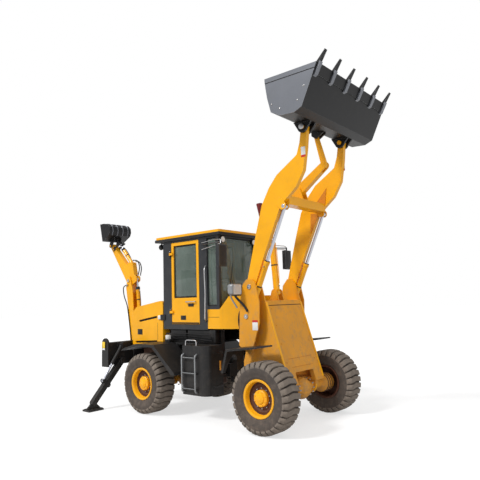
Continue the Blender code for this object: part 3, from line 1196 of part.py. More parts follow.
ROCKER_IN = 0.061
ROCKER_OUT = 0.073
ROCKER_RADII = (0.035, 0.032, 0.02)
ROCKER_TURN = math.radians(82)
ROCKER_CLEAR = 0.006
LINK_IN = 0.034
LINK_OUT = 0.050
BUCKET_EAR_IN = 0.079
BUCKET_EAR_OUT = 0.099


def hoe_rocker(root):
    """Two plates on the dipper, joined by a tie bar past the rod's eye and scooped for the tip's pin."""
    outline = lever((ROCKER_FOOT, CURL_HEAD, ROCKER_TIE), ROCKER_RADII)
    body = pin("tie", ROCKER_TIE, -ROCKER_IN - BITE, ROCKER_IN + BITE, HOE_PIN * 0.5)
    for side in (-1, 1):
        body = merged(body, plate("plate", outline, side * ROCKER_IN, side * ROCKER_OUT))
        body = merged(body, pin("stub", CURL_HEAD, side * (LINK_IN - BITE), side * (ROCKER_OUT + BITE), HOE_PIN * 0.7))
    reach = Matrix.Rotation(-ROCKER_TURN, 2) @ (Vector(DIPPER_TIP) - Vector(ROCKER_FOOT))
    scoop = tuple(Vector(ROCKER_FOOT) + reach)
    body = carved(body, bore("hole", ROCKER_FOOT, -ROCKER_OUT - OVERRUN, ROCKER_OUT + OVERRUN, HOE_PIN),
                  bore("scoop", scoop, -ROCKER_OUT - OVERRUN, ROCKER_OUT + OVERRUN, HOE_PIN + ROCKER_CLEAR))
    finished(body, "hoe_rocker", "charcoal_paint", root, (ROCKER_FOOT[0], 0, ROCKER_FOOT[1]))


def hoe_link(root):
    """Two plates from the rocker's pin to the hoe bucket's ears."""
    left = plate("plate", bone(CURL_HEAD, CURL_LINK_TOP, 0.026, 0.026), LINK_IN, LINK_OUT)
    right = plate("plate", bone(CURL_HEAD, CURL_LINK_TOP, 0.026, 0.026), -LINK_OUT, -LINK_IN)
    body = merged(left, pin("pin", CURL_LINK_TOP, -LINK_OUT, LINK_OUT, HOE_PIN * 0.7), right)
    body = carved(body, bore("hole", CURL_HEAD, -LINK_OUT - OVERRUN, LINK_OUT + OVERRUN, HOE_PIN * 0.7))
    finished(body, "hoe_link", "charcoal_paint", root, (CURL_HEAD[0], 0, CURL_HEAD[1]))


HOE_BUCKET_CORNER = (-2.50, 3.42)
HOE_BUCKET_SIZE = (0.38, 0.41)
HOE_BUCKET_SHARES = ((0.25, 0.0), (0.90, 0.32), (1.0, 0.54), (0.96, 0.78), (0.76, 0.94), (0.40, 1.0), (0.0, 1.0))
HOE_BUCKET_WALL = 0.016


def hoe_bucket(root):
    """The digging bucket with the two ears that take its pins."""
    profile = points_from(HOE_BUCKET_SHARES, HOE_BUCKET_CORNER, HOE_BUCKET_SIZE)
    wall = HOE_BUCKET_WALL
    body = plate("shell", profile, -HOE_BUCKET_HALF, HOE_BUCKET_HALF)
    body = carved(body, plate("room", pocket(profile, wall), -HOE_BUCKET_HALF + wall, HOE_BUCKET_HALF - wall))
    ear = arc_points(DIPPER_TIP, 0.045, 150, 300, 5) + arc_points(CURL_LINK_TOP, 0.034, -60, 60, 4)
    ear += [(profile[1][0] - wall, profile[1][1] + BITE), (profile[0][0] + wall, profile[0][1] + BITE * 2)]
    for side in (-1, 1):
        body = merged(body, plate("ear", ear, side * BUCKET_EAR_IN, side * BUCKET_EAR_OUT))
    body = carved(body, bore("hole", DIPPER_TIP, -HOE_BUCKET_HALF - OVERRUN, HOE_BUCKET_HALF + OVERRUN, HOE_PIN))
    finished(body, "hoe_bucket", "bucket_steel", root, (DIPPER_TIP[0], 0, DIPPER_TIP[1]))


# Stabilizers


def stabilizer(root, name, side):
    """A leg that folds down beside the rear beam, with its foot pad."""
    root_spot = (side * STAY_ROOT[0], STAY_ROOT[1])
    foot_spot = (side * STAY_FOOT[0], STAY_FOOT[1])
    head_spot = (side * STAY_HEAD[0], STAY_HEAD[1])
    low, high = STAY_X - STAY_HALF, STAY_X + STAY_HALF
    leg = plate("leg", bone(root_spot, foot_spot, 0.055, 0.05), low, high, "YZ")
    for inner, outer in ((low, STAY_X - 0.035), (STAY_X + 0.035, high)):
        lug = bone((head_spot[0] - side * 0.09, head_spot[1] - 0.09), head_spot, 0.05, 0.035)
        leg = merged(leg, plate("lug", lug, inner, outer, "YZ"))
    foot = [(foot_spot[0] - side * PAD_HALF, PAD_THICK - BITE), (foot_spot[0] + side * PAD_HALF, PAD_THICK - BITE), (foot_spot[0], foot_spot[1] + 0.04)]
    leg = merged(leg, plate("gusset", foot, STAY_X - 0.02, STAY_X + 0.02, "YZ"))
    leg = merged(leg, block("pad", (STAY_X - PAD_HALF * 0.7, STAY_X + PAD_HALF * 0.7), (foot_spot[0] - PAD_HALF, foot_spot[0] + PAD_HALF), (0, PAD_THICK)))
    leg = carved(leg, drill("hole", (low - OVERRUN, *root_spot), (high + OVERRUN, *root_spot), STAY_PIN))
    finished(leg, name + "_leg", "charcoal_paint", root, (STAY_X, *root_spot))


RAMS = (
    # name, base, head, barrel and rod radius, barrel length, travel inwards, half eye width, across, plane
    ("right_lift", LIFT_BASE, LIFT_HEAD, LIFT_BARREL, LIFT_ROD, 0.96, 0.70, LIFT_EYE_HALF, -LIFT_Y, "XZ"),
    ("left_lift", LIFT_BASE, LIFT_HEAD, LIFT_BARREL, LIFT_ROD, 0.96, 0.70, LIFT_EYE_HALF, LIFT_Y, "XZ"),
    ("tilt", TILT_BASE, TILT_HEAD, TILT_BARREL, TILT_ROD, 0.86, 0.45, TILT_EYE_HALF, 0, "XZ"),
    ("boom", BOOM_BASE, BOOM_HEAD, HOE_BARREL, HOE_ROD, 0.52, 0, LINK_HALF, 0, "XZ"),
    ("dipper", DIPPER_BASE, DIPPER_HEAD, HOE_BARREL, HOE_ROD, 0.60, 0.09, LINK_HALF, 0, "XZ"),
    ("curl", CURL_BASE, CURL_HEAD, HOE_BARREL, HOE_ROD, 0.50, 0, LINK_HALF, 0, "XZ"),
    ("right_stay", (-STAY_BASE[0], STAY_BASE[1]), (-STAY_HEAD[0], STAY_HEAD[1]), 0.035, 0.02, 0.43, 0.275, LINK_HALF, STAY_X, "YZ"),
    ("left_stay", STAY_BASE, STAY_HEAD, 0.035, 0.02, 0.43, 0.275, LINK_HALF, STAY_X, "YZ"),
)


def main():
    for piece in list(bpy.data.objects):
        bpy.data.objects.remove(piece, do_unlink=True)
    for collection in (PARTS, CUTTERS):
        bpy.context.scene.collection.children.link(collection)
    root = bpy.data.objects.new("ground_centre", None)
    PARTS.objects.link(root)
    root.location = (-BOX_MIDDLE_X, 0, 0)
    rear_chassis(root)
    axle(root, "rear_axle", 0)
    gearbox(root)
    engine(root)
    engine_hood(root)
    cab_shell(root)
    cab_roof(root)
    seat(root)
    console(root)
    cowl(root)
    fender_platform(root)
    front_frame(root)
    axle(root, "front_axle", WHEELBASE)
    loader_arms(root)
    bell_crank(root)
    bucket_link(root)
    loader_bucket(root)
    swing_post(root)
    hoe_boom(root)
    hoe_dipper(root)
    hoe_rocker(root)
    hoe_link(root)
    hoe_bucket(root)
    for label, side in (("right", -1), ("left", 1)):
        door(root, label + "_door", side)
        step_tank(root, label + "_step_tank", side)
        front_fender(root, label + "_front_fender", side)
        headlamp(root, label + "_headlamp", side)
        stabilizer(root, label + "_stabilizer", side)
        wheel(root, "rear_" + label, 0, side)
        wheel(root, "front_" + label, WHEELBASE, side)
    for name, base, head, barrel, rod, length, draw_in, eye, across, plane in RAMS:
        base_pin = STAY_PIN if plane == "YZ" else (HOE_PIN if name in ("boom", "dipper", "curl") else LINK_PIN)
        ram(root, name, base, head, barrel, rod, length, draw_in, eye, across, plane, base_pin)


main()
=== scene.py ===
# %% [markdown]
# # A backhoe loader, dressed
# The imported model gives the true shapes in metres. Here the machine gets what a hand would see
# and touch: paint with dust in it, rubber with a real tread, glass, lamps, pipes and a seat.
# Each step first says what the thing is on the real machine, then builds it.

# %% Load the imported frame
import math

import bpy
from mathutils import Matrix, Vector


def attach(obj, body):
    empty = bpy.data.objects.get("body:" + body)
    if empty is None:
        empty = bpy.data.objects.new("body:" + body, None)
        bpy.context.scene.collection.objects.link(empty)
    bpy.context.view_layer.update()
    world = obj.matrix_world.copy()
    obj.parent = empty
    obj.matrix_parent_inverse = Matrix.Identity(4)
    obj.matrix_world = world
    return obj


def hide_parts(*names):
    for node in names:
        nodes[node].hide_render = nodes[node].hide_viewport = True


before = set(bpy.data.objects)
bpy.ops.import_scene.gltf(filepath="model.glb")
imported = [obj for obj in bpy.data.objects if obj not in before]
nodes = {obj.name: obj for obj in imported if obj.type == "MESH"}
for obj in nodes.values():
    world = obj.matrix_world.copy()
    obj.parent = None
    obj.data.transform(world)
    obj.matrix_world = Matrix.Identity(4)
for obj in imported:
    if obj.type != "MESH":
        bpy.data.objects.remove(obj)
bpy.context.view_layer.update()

# %% [markdown]
# ## Places
# The machine was measured from its rear axle, which stands 0.80 m behind the model's middle.
# One small helper turns such a place into the model's frame, so the numbers below stay readable.
# Most things come in pairs, the right one at minus Y and the left one at plus Y.

# %% Helper for places
AXLE = 0.80
WHEELBASE = 2.70
HALF_TRACK = 0.93
HUB = 0.535
SIDES = (("right", -1), ("left", 1))  # a side's name and the sign of its Y


def at(x, y, z):
    """A place measured from the rear axle, in the model's frame."""
    return Vector((x - AXLE, y, z))


print("the front axle is at", at(WHEELBASE, 0, HUB))

# %% [markdown]
# ## Editing by script
# A primitive comes selected, and so do the loaded nodes, so each tool first selects its own piece.
# A piece is then settled: its place, turn and size go into its mesh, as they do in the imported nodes.

# %% Helpers for editing


def alone(piece):
    """Selects this piece and nothing else."""
    bpy.ops.object.select_all(action="DESELECT")
    piece.select_set(True)
    bpy.context.view_layer.objects.active = piece


def settled(piece):
    alone(piece)
    bpy.ops.object.transform_apply(location=True, rotation=True, scale=True)
    return piece


def shaped(piece, kind, **settings):
    """Adds a modifier with these settings and applies it."""
    alone(piece)
    bpy.ops.object.modifier_add(type=kind)
    modifier = piece.modifiers[-1]
    for label, value in settings.items():
        setattr(modifier, label, value)
    bpy.ops.object.modifier_apply(modifier=modifier.name)
    return piece


def smooth(piece, degrees=35):
    alone(piece)
    bpy.ops.object.shade_smooth_by_angle(angle=math.radians(degrees))
    return piece


def joined(name, pieces):
    """Several meshes made one piece."""
    bpy.ops.object.select_all(action="DESELECT")
    for piece in pieces:
        piece.select_set(True)
    bpy.context.view_layer.objects.active = pieces[0]
    if len(pieces) > 1:
        bpy.ops.object.join()
    pieces[0].name = name
    return pieces[0]


def copied(piece, name, matrix):
    """A copy with its own mesh, moved by a matrix. A mirrored copy gets its faces turned back."""
    twin = piece.copy()
    twin.data = piece.data.copy()
    twin.name = name
    bpy.context.scene.collection.objects.link(twin)
    twin.data.transform(matrix)
    if matrix.determinant() < 0:
        twin.data.flip_normals()
    return twin


MIRROR = Matrix.Diagonal((1, -1, 1, 1))

# %% [markdown]
# ## Slabs, rods and tubes
# Plates, bars and pipes are most of such a machine. A slab is a cube at its size with its edges
# bevelled, a rod is a cylinder between two places, and a tube is a curve with a round section whose
# corners are bent on an arc, as a pipe bender leaves them. A band is a ring round a bar, and a sheet
# is a plate cut to an outline.

# %% Helpers for slabs, rods and tubes
SHARP_EDGE = math.radians(40)


def slab(name, low, high, edge=0.004, segments=2):
    """A block between two opposite corners, in whichever order they come."""
    low, high = Vector(low), Vector(high)
    bpy.ops.mesh.primitive_cube_add(size=1, location=(low + high) / 2)
    piece = bpy.context.object
    piece.name = name
    piece.scale = [abs(span) for span in high - low]
    settled(piece)
    shaped(piece, "BEVEL", width=edge, segments=segments, limit_method="ANGLE")
    return smooth(piece)


def rod(name, start, end, radius, edge=0.002, sides=28, tip=None):
    """A round bar, or a cone where its tip has a radius of its own."""
    start, end = Vector(start), Vector(end)
    line = end - start
    bpy.ops.mesh.primitive_cone_add(vertices=sides, radius1=radius,
                                    radius2=radius if tip is None else tip,
                                    depth=line.length, location=(start + end) / 2,
                                    rotation=line.to_track_quat("Z", "Y").to_euler())
    piece = bpy.context.object
    piece.name = name
    settled(piece)
    if edge > 0:
        shaped(piece, "BEVEL", width=edge, segments=2, limit_method="ANGLE", angle_limit=SHARP_EDGE)
    return smooth(piece)


def band(name, start, end, radius, wall):
    """A ring round a barrel or a rod: an open cylinder whose wall is thickened inwards."""
    start, end = Vector(start), Vector(end)
    line = end - start
    bpy.ops.mesh.primitive_cylinder_add(vertices=36, radius=radius, depth=line.length,
                                        end_fill_type="NOTHING", location=(start + end) / 2,
                                        rotation=line.to_track_quat("Z", "Y").to_euler())
    piece = bpy.context.object
    piece.name = name
    settled(piece)
    shaped(piece, "SOLIDIFY", thickness=wall, offset=-1.0)
    shaped(piece, "BEVEL", width=0.0012, segments=2, limit_method="ANGLE")
    return smooth(piece)


def from_faces(name, corners, faces):
    """A piece made of stated faces, all turned outwards."""
    mesh = bpy.data.meshes.new(name)
    mesh.from_pydata([tuple(corner) for corner in corners], [], faces)
    piece = bpy.data.objects.new(name, mesh)
    bpy.context.scene.collection.objects.link(piece)
    alone(piece)
    bpy.ops.object.mode_set(mode="EDIT")
    bpy.ops.mesh.select_all(action="SELECT")
    bpy.ops.mesh.normals_make_consistent(inside=False)
    bpy.ops.object.mode_set(mode="OBJECT")
    return piece


def sheet(name, outline, near, far):
    """A flat plate: its outline in side view, from one distance across to the other."""
    count = len(outline)
    corners = [at(x, y, z) for y in (near, far) for x, z in outline]
    faces = [tuple(range(count)), tuple(reversed(range(count, 2 * count)))]
    for index in range(count):
        following = (index + 1) % count
        faces.append((index, following, following + count, index + count))
    return smooth(from_faces(name, corners, faces))


def bent(places, radius, steps=5):
    """The places with each corner rounded."""
    spots = [Vector(place) for place in places]
    line = [spots[0]]
    for before, corner, after in zip(spots, spots[1:], spots[2:]):
        reach = min(radius, (before - corner).length / 2.1, (after - corner).length / 2.1)
        start = corner + (before - corner).normalized() * reach
        end = corner + (after - corner).normalized() * reach
        for step in range(steps + 1):
            share = step / steps
            line.append(start.lerp(corner, share).lerp(corner.lerp(end, share), share))
    return line + [spots[-1]]


def tube_curve(name, places, radius, rounds=3):
    curve = bpy.data.curves.new(name, "CURVE")
    curve.dimensions = "3D"
    curve.bevel_depth = radius
    curve.bevel_resolution = rounds
    curve.use_fill_caps = True
    spline = curve.splines.new("POLY")
    spline.points.add(len(places) - 1)
    for point, place in zip(spline.points, places):
        point.co = (*place, 1)
    piece = bpy.data.objects.new(name, curve)
    bpy.context.scene.collection.objects.link(piece)
    return piece


def tube(name, places, radius, corner=0.03, rounds=3):
    piece = tube_curve(name, bent(places, corner), radius, rounds)
    alone(piece)
    bpy.ops.object.convert(target="MESH")
    return smooth(bpy.context.object, 50)


# %% [markdown]
# ## Shader groups
# Paint on a working machine is never one colour. Its tone drifts, dirt gathers low down and in
# streaks, and edges rub bright. One group makes the tone and the dirt for every painted, cast or
# rubber surface. It gives out colours and values only, so each material keeps its own Principled shader.

# %% Helpers for shader groups


def new_group(name, inputs, outputs):
    group = bpy.data.node_groups.new(name, "ShaderNodeTree")
    for label, kind, value in inputs:
        socket = group.interface.new_socket(label, in_out="INPUT", socket_type=kind)
        socket.default_value = value
    for label, kind in outputs:
        group.interface.new_socket(label, in_out="OUTPUT", socket_type=kind)
    return group


def add(tree, kind, **settings):
    node = tree.nodes.new(kind)
    for label, value in settings.items():
        setattr(node, label, value)
    return node


def noise(tree, source, scale, detail=4, rough=0.55):
    node = add(tree, "ShaderNodeTexNoise")
    node.inputs["Scale"].default_value = scale
    node.inputs["Detail"].default_value = detail
    node.inputs["Roughness"].default_value = rough
    tree.links.new(source, node.inputs["Vector"])
    return node.outputs["Fac"]


def ranged(tree, source, low, high, out_low=0.0, out_high=1.0):
    node = add(tree, "ShaderNodeMapRange")
    for label, value in (("From Min", low), ("From Max", high),
                         ("To Min", out_low), ("To Max", out_high)):
        node.inputs[label].default_value = value
    tree.links.new(source, node.inputs["Value"])
    return node.outputs["Result"]


def sum_of(tree, kind, first, second):
    """Adds or multiplies two values."""
    node = add(tree, "ShaderNodeMath", operation=kind, use_clamp=True)
    for socket, value in zip(node.inputs, (first, second)):
        if isinstance(value, float):
            socket.default_value = value
        else:
            tree.links.new(value, socket)
    return node.outputs["Value"]


def mixed(tree, share, first, second, blend="MIX"):
    node = add(tree, "ShaderNodeMix", data_type="RGBA", blend_type=blend)
    for socket, value in ((node.inputs[0], share), (node.inputs[6], first), (node.inputs[7], second)):
        if isinstance(value, (float, tuple)):
            socket.default_value = value
        else:
            tree.links.new(value, socket)
    return node.outputs[2]


def stretched(tree, source, scale):
    node = add(tree, "ShaderNodeMapping")
    node.inputs["Scale"].default_value = scale
    tree.links.new(source, node.inputs["Vector"])
    return node.outputs["Vector"]


# %% Weather group
COLOR, FLOAT = "NodeSocketColor", "NodeSocketFloat"
weather = new_group("weather", (
    ("Coat", COLOR, (0.8, 0.8, 0.8, 1)), ("Dirt", COLOR, (0.20, 0.15, 0.10, 1)),
    ("Amount", FLOAT, 0.3), ("Dust Height", FLOAT, 1.2),
    ("Clean Roughness", FLOAT, 0.3), ("Dirty Roughness", FLOAT, 0.8)),
    (("Color", COLOR), ("Roughness", FLOAT), ("Height", FLOAT), ("Mask", FLOAT)))
enter, leave = add(weather, "NodeGroupInput"), add(weather, "NodeGroupOutput")
spot = add(weather, "ShaderNodeTexCoord").outputs["Object"]
# slow drift of the tone, patches of dirt, streaks that run down, and a fine grain
tone = ranged(weather, noise(weather, spot, 1.6, 3), 0.3, 0.7, 0.90, 1.06)
patches = ranged(weather, noise(weather, spot, 7.0, 9, 0.68), 0.50, 0.72)
upright = stretched(weather, spot, (26, 26, 1.6))
streaks = ranged(weather, noise(weather, upright, 1.0, 5), 0.56, 0.80)
grain = noise(weather, spot, 260.0, 2)
# dust that thins out with the height over the ground
height = add(weather, "ShaderNodeSeparateXYZ")
weather.links.new(spot, height.inputs[0])
level = add(weather, "ShaderNodeMapRange")
level.inputs["From Min"].default_value = 0.0
level.inputs["To Min"].default_value = 1.0
level.inputs["To Max"].default_value = 0.0
weather.links.new(height.outputs["Z"], level.inputs["Value"])
weather.links.new(enter.outputs["Dust Height"], level.inputs["From Max"])
cloudy = ranged(weather, noise(weather, spot, 14.0, 8, 0.7), 0.30, 0.75, 0.25, 1.0)
low_dust = sum_of(weather, "MULTIPLY", level.outputs["Result"], cloudy)
dirt = sum_of(weather, "ADD", sum_of(weather, "MULTIPLY", patches, 0.55),
              sum_of(weather, "MULTIPLY", streaks, 0.45))
mask = sum_of(weather, "MULTIPLY", sum_of(weather, "ADD", dirt, low_dust), enter.outputs["Amount"])
toned = add(weather, "ShaderNodeHueSaturation")
weather.links.new(enter.outputs["Coat"], toned.inputs["Color"])
weather.links.new(tone, toned.inputs["Value"])
soiled = mixed(weather, mask, toned.outputs["Color"], enter.outputs["Dirt"])
weather.links.new(soiled, leave.inputs["Color"])
rough = add(weather, "ShaderNodeMapRange")
grain_rough = sum_of(weather, "MULTIPLY", grain, 0.12)
weather.links.new(sum_of(weather, "ADD", mask, grain_rough), rough.inputs["Value"])
weather.links.new(enter.outputs["Clean Roughness"], rough.inputs["To Min"])
weather.links.new(enter.outputs["Dirty Roughness"], rough.inputs["To Max"])
weather.links.new(rough.outputs["Result"], leave.inputs["Roughness"])
grain_height = sum_of(weather, "MULTIPLY", grain, 0.35)
weather.links.new(sum_of(weather, "ADD", grain_height, mask), leave.inputs["Height"])
weather.links.new(mask, leave.inputs["Mask"])
print("weather group with", len(weather.nodes), "nodes")

# %% [markdown]
# ## Worn edges
# Where steel is rubbed, its edges shine through the paint first. The Bevel node gives the normal that
# a rounded edge would have, and where it leaves the true normal there is an edge. Noise breaks it up.

# %% Edge wear group
edge_wear = new_group("edge_wear", (("Amount", FLOAT, 0.6),), (("Mask", FLOAT),))
enter, leave = add(edge_wear, "NodeGroupInput"), add(edge_wear, "NodeGroupOutput")
spot = add(edge_wear, "ShaderNodeTexCoord").outputs["Object"]
rounded = add(edge_wear, "ShaderNodeBevel", samples=4)
rounded.inputs["Radius"].default_value = 0.007
geometry = add(edge_wear, "ShaderNodeNewGeometry")
turn = add(edge_wear, "ShaderNodeVectorMath", operation="DOT_PRODUCT")
edge_wear.links.new(rounded.outputs["Normal"], turn.inputs[0])
edge_wear.links.new(geometry.outputs["Normal"], turn.inputs[1])
rub = ranged(edge_wear, turn.outputs["Value"], 0.985, 0.80)  # the two normals' dot product
broken = ranged(edge_wear, noise(edge_wear, spot, 22.0, 8, 0.7), 0.42, 0.62)
worn = sum_of(edge_wear, "MULTIPLY", rub, broken)
edge_wear.links.new(sum_of(edge_wear, "MULTIPLY", worn, enter.outputs["Amount"]), leave.inputs["Mask"])
print("edge wear group with", len(edge_wear.nodes), "nodes")

# %% [markdown]
# ## Finishes
# Each finish is a row: its colour, the dirt on it, how much, how high the dust climbs, how rough it is
# clean and dirty, metal or not, a clear coat, the strength of its grain and the shine on its edges.
# The amber is baked enamel, the cast parts are sand-rough, and the bucket's paint shines at its edges.

# %% Make the weathered finishes
FINISHES = {
    # name: coat, dirt, amount, dust height, clean roughness, dirty roughness,
    #       metal, clear coat, grain, edge colour, edge share
    "amber_enamel": ((0.96, 0.44, 0.004, 1), (0.46, 0.22, 0.03, 1), 0.25, 0.9, 0.28, 0.75,
                     0.0, 0.15, 0.05, (0.98, 0.62, 0.14, 1), 0.5),
    # darker than amber_enamel: painted shade for the sloped tower plate and the axles, with real road dust
    # over it
    "dusty_shaded_amber": ((0.80, 0.33, 0.006, 1), (0.40, 0.24, 0.11, 1), 0.75, 2.2, 0.42, 0.85,
                    0.0, 0.1, 0.08, (0.97, 0.60, 0.15, 1), 0.6),
    "shaded_amber": ((0.62, 0.22, 0.012, 1), (0.22, 0.10, 0.04, 1), 0.6, 2.0, 0.45, 0.85,
                     0.0, 0.0, 0.10, (0.9, 0.5, 0.1, 1), 0.5),
    "charcoal_enamel": ((0.022, 0.024, 0.028, 1), (0.10, 0.09, 0.08, 1), 0.35, 1.6, 0.34, 0.75,
                        0.0, 0.2, 0.06, (0.20, 0.20, 0.20, 1), 0.7),
    "frame_black": ((0.009, 0.009, 0.010, 1), (0.10, 0.085, 0.07, 1), 0.30, 1.5, 0.42, 0.85,
                    0.0, 0.05, 0.10, (0.24, 0.23, 0.22, 1), 0.8),
    "bucket_black": ((0.009, 0.009, 0.010, 1), (0.07, 0.065, 0.06, 1), 0.20, 0.2, 0.38, 0.7,
                     0.0, 0.0, 0.10, (0.42, 0.42, 0.42, 1), 1.0),
    "side_grey": ((0.190, 0.200, 0.225, 1), (0.14, 0.13, 0.12, 1), 0.20, 0.2, 0.30, 0.6,
                  0.25, 0.2, 0.08, (0.5, 0.5, 0.5, 1), 0.9),
    "worn_steel": ((0.42, 0.41, 0.40, 1), (0.14, 0.09, 0.06, 1), 0.55, 0.5, 0.32, 0.7,
                   0.9, 0.0, 0.14, (0.6, 0.6, 0.6, 1), 0.6),
    "cast_iron": ((0.085, 0.040, 0.026, 1), (0.16, 0.11, 0.08, 1), 0.6, 1.4, 0.55, 0.9,
                  0.2, 0.0, 0.35, (0.30, 0.20, 0.15, 1), 0.5),
    # painted shade for the rim's deep dish, with dust in it
    "dish_shade_brown": ((0.085, 0.028, 0.016, 1), (0.16, 0.10, 0.07, 1), 0.5, 0.6, 0.5, 0.9,
                   0.0, 0.0, 0.12, (0.4, 0.2, 0.05, 1), 0.3),
    "tyre_side": ((0.050, 0.042, 0.038, 1), (0.16, 0.125, 0.10, 1), 0.75, 1.6, 0.62, 0.92,
                  0.0, 0.0, 0.14, (0.10, 0.09, 0.08, 1), 0.3),
    "tread_top": ((0.155, 0.130, 0.108, 1), (0.27, 0.22, 0.18, 1), 0.9, 1.6, 0.75, 0.95,
                  0.0, 0.0, 0.20, (0.30, 0.26, 0.22, 1), 0.8),
    "tread_groove": ((0.040, 0.033, 0.030, 1), (0.10, 0.08, 0.065, 1), 0.8, 1.6, 0.8, 0.95,
                     0.0, 0.0, 0.2, (0.08, 0.07, 0.06, 1), 0.2),
    "black_plastic": ((0.016, 0.016, 0.017, 1), (0.09, 0.085, 0.08, 1), 0.25, 0.5, 0.40, 0.7,
                      0.0, 0.0, 0.16, (0.06, 0.06, 0.06, 1), 0.3),
    "hose_rubber": ((0.013, 0.013, 0.014, 1), (0.07, 0.06, 0.05, 1), 0.3, 0.5, 0.30, 0.7,
                    0.0, 0.0, 0.12, (0.04, 0.04, 0.04, 1), 0.2),
    "gasket_rubber": ((0.010, 0.010, 0.010, 1), (0.05, 0.045, 0.04, 1), 0.3, 0.5, 0.55, 0.8,
                      0.0, 0.0, 0.10, (0.03, 0.03, 0.03, 1), 0.2),
    "label_white": ((0.80, 0.80, 0.78, 1), (0.35, 0.30, 0.24, 1), 0.25, 0.5, 0.35, 0.7,
                    0.0, 0.1, 0.02, (0.8, 0.8, 0.8, 1), 0.1),
    "label_red": ((0.60, 0.03, 0.02, 1), (0.30, 0.12, 0.08, 1), 0.25, 0.5, 0.35, 0.7,
                  0.0, 0.1, 0.02, (0.6, 0.1, 0.1, 1), 0.1),
    "label_yellow": ((0.90, 0.62, 0.05, 1), (0.35, 0.25, 0.10, 1), 0.25, 0.5, 0.35, 0.7,
                     0.0, 0.1, 0.02, (0.9, 0.7, 0.2, 1), 0.1),
    "dark_red": ((0.16, 0.012, 0.010, 1), (0.12, 0.06, 0.04, 1), 0.4, 0.5, 0.40, 0.8,
                 0.0, 0.1, 0.10, (0.3, 0.08, 0.06, 1), 0.5),
    "lever_grey": ((0.30, 0.31, 0.32, 1), (0.16, 0.14, 0.12, 1), 0.35, 1.4, 0.35, 0.7,
                   0.4, 0.0, 0.06, (0.6, 0.6, 0.6, 1), 0.7),
}
materials = {}


def new_material(name):
    """A new material, kept under its name: its tree and its Principled shader."""
    material = bpy.data.materials.new(name)
    material.use_nodes = True
    materials[name] = material
    return material.node_tree, material.node_tree.nodes["Principled BSDF"]


def placed_group(tree, group, **values):
    node = add(tree, "ShaderNodeGroup", node_tree=group)
    for label, value in values.items():
        node.inputs[label.replace("_", " ")].default_value = value
    return node


def bumped(tree, shader, height, strength, distance=0.002):
    bump = add(tree, "ShaderNodeBump")
    bump.inputs["Strength"].default_value = strength
    bump.inputs["Distance"].default_value = distance
    tree.links.new(height, bump.inputs["Height"])
    tree.links.new(bump.outputs["Normal"], shader.inputs["Normal"])


PAINT_SHINE = 0.28
CLEAR_COAT_ROUGHNESS = 0.12
for name, row in FINISHES.items():
    coat, soil, amount, dust_height, clean, dirty, metal, clear, strength, edge_colour, edge_share = row
    tree, shader = new_material(name)
    surface = placed_group(tree, weather, Coat=coat, Dirt=soil, Amount=amount, Dust_Height=dust_height,
                           Clean_Roughness=clean, Dirty_Roughness=dirty)
    wear = placed_group(tree, edge_wear, Amount=edge_share)
    colour = mixed(tree, wear.outputs["Mask"], surface.outputs["Color"], edge_colour)
    tree.links.new(colour, shader.inputs["Base Color"])
    tree.links.new(surface.outputs["Roughness"], shader.inputs["Roughness"])
    shader.inputs["Metallic"].default_value = metal
    shader.inputs["Specular IOR Level"].default_value = PAINT_SHINE
    shader.inputs["Coat Weight"].default_value = clear
    shader.inputs["Coat Roughness"].default_value = CLEAR_COAT_ROUGHNESS
    bumped(tree, shader, surface.outputs["Height"], strength)
print(len(materials), "weathered finishes")

# %% [markdown]
# ## Chrome and glass
# A ram's rod is ground and hard-chromed, with fine rings round it. The cab's glass has a green-grey
# tint that a film of dust makes paler in places, and a lamp's lens is clear. The glass lets light
# through by its alpha, so that the seat shows behind it.

# %% Chrome and glass
METALS = (
    # name, colour, roughness where polished, roughness where dull
    ("hard_chrome", (0.50, 0.51, 0.56, 1), 0.24, 0.40),
    ("satin_steel", (0.55, 0.55, 0.56, 1), 0.25, 0.45),
    ("mirror_face", (0.62, 0.66, 0.68, 1), 0.03, 0.08),
)
RING_STRETCH = (60, 60, 420)
for name, colour, rough_low, rough_high in METALS:
    tree, shader = new_material(name)
    spot = add(tree, "ShaderNodeTexCoord").outputs["Object"]
    drift = noise(tree, spot, 9.0, 5)
    lines = noise(tree, stretched(tree, spot, RING_STRETCH), 1.0, 3)
    tree.links.new(ranged(tree, drift, 0.3, 0.7, rough_low, rough_high), shader.inputs["Roughness"])
    dull = tuple(value * 0.7 for value in colour[:3]) + (1,)
    tarnish = ranged(tree, drift, 0.52, 0.8, 0.0, 0.5)
    tree.links.new(mixed(tree, tarnish, colour, dull), shader.inputs["Base Color"])
    shader.inputs["Metallic"].default_value = 1.0
    bumped(tree, shader, lines, 0.04, 0.0005)
GLASSES = (
    # name, tint, roughness, how much it hides
    ("cab_glass", (0.085, 0.125, 0.100, 1), 0.03, 0.58),
    ("lens_glass", (0.92, 0.95, 0.96, 1), 0.05, 0.35),
    ("amber_lens", (0.95, 0.35, 0.03, 1), 0.12, 0.9),
)
FILM = 0.12
for name, tint, rough_value, opacity in GLASSES:
    tree, shader = new_material(name)
    spot = add(tree, "ShaderNodeTexCoord").outputs["Object"]
    film = ranged(tree, noise(tree, spot, 3.0, 6, 0.6), 0.35, 0.75)
    pale = tuple(min(1.0, value * 1.35 + 0.03) for value in tint[:3]) + (1,)
    tree.links.new(mixed(tree, film, tint, pale), shader.inputs["Base Color"])
    film_rough = ranged(tree, film, 0.0, 1.0, rough_value, rough_value + FILM)
    tree.links.new(film_rough, shader.inputs["Roughness"])
    film_alpha = ranged(tree, film, 0.0, 1.0, opacity, min(1.0, opacity + FILM))
    tree.links.new(film_alpha, shader.inputs["Alpha"])
    shader.inputs["Transmission Weight"].default_value = 0.0
    shader.inputs["Coat Weight"].default_value = 0.6
    bumped(tree, shader, noise(tree, spot, 40.0, 2), 0.02, 0.001)
print(sorted(materials))

# %% [markdown]
# ## Seat vinyl
# The seat's cover is embossed vinyl: a pebble grain from a Voronoi pattern, softer where it is sat on.

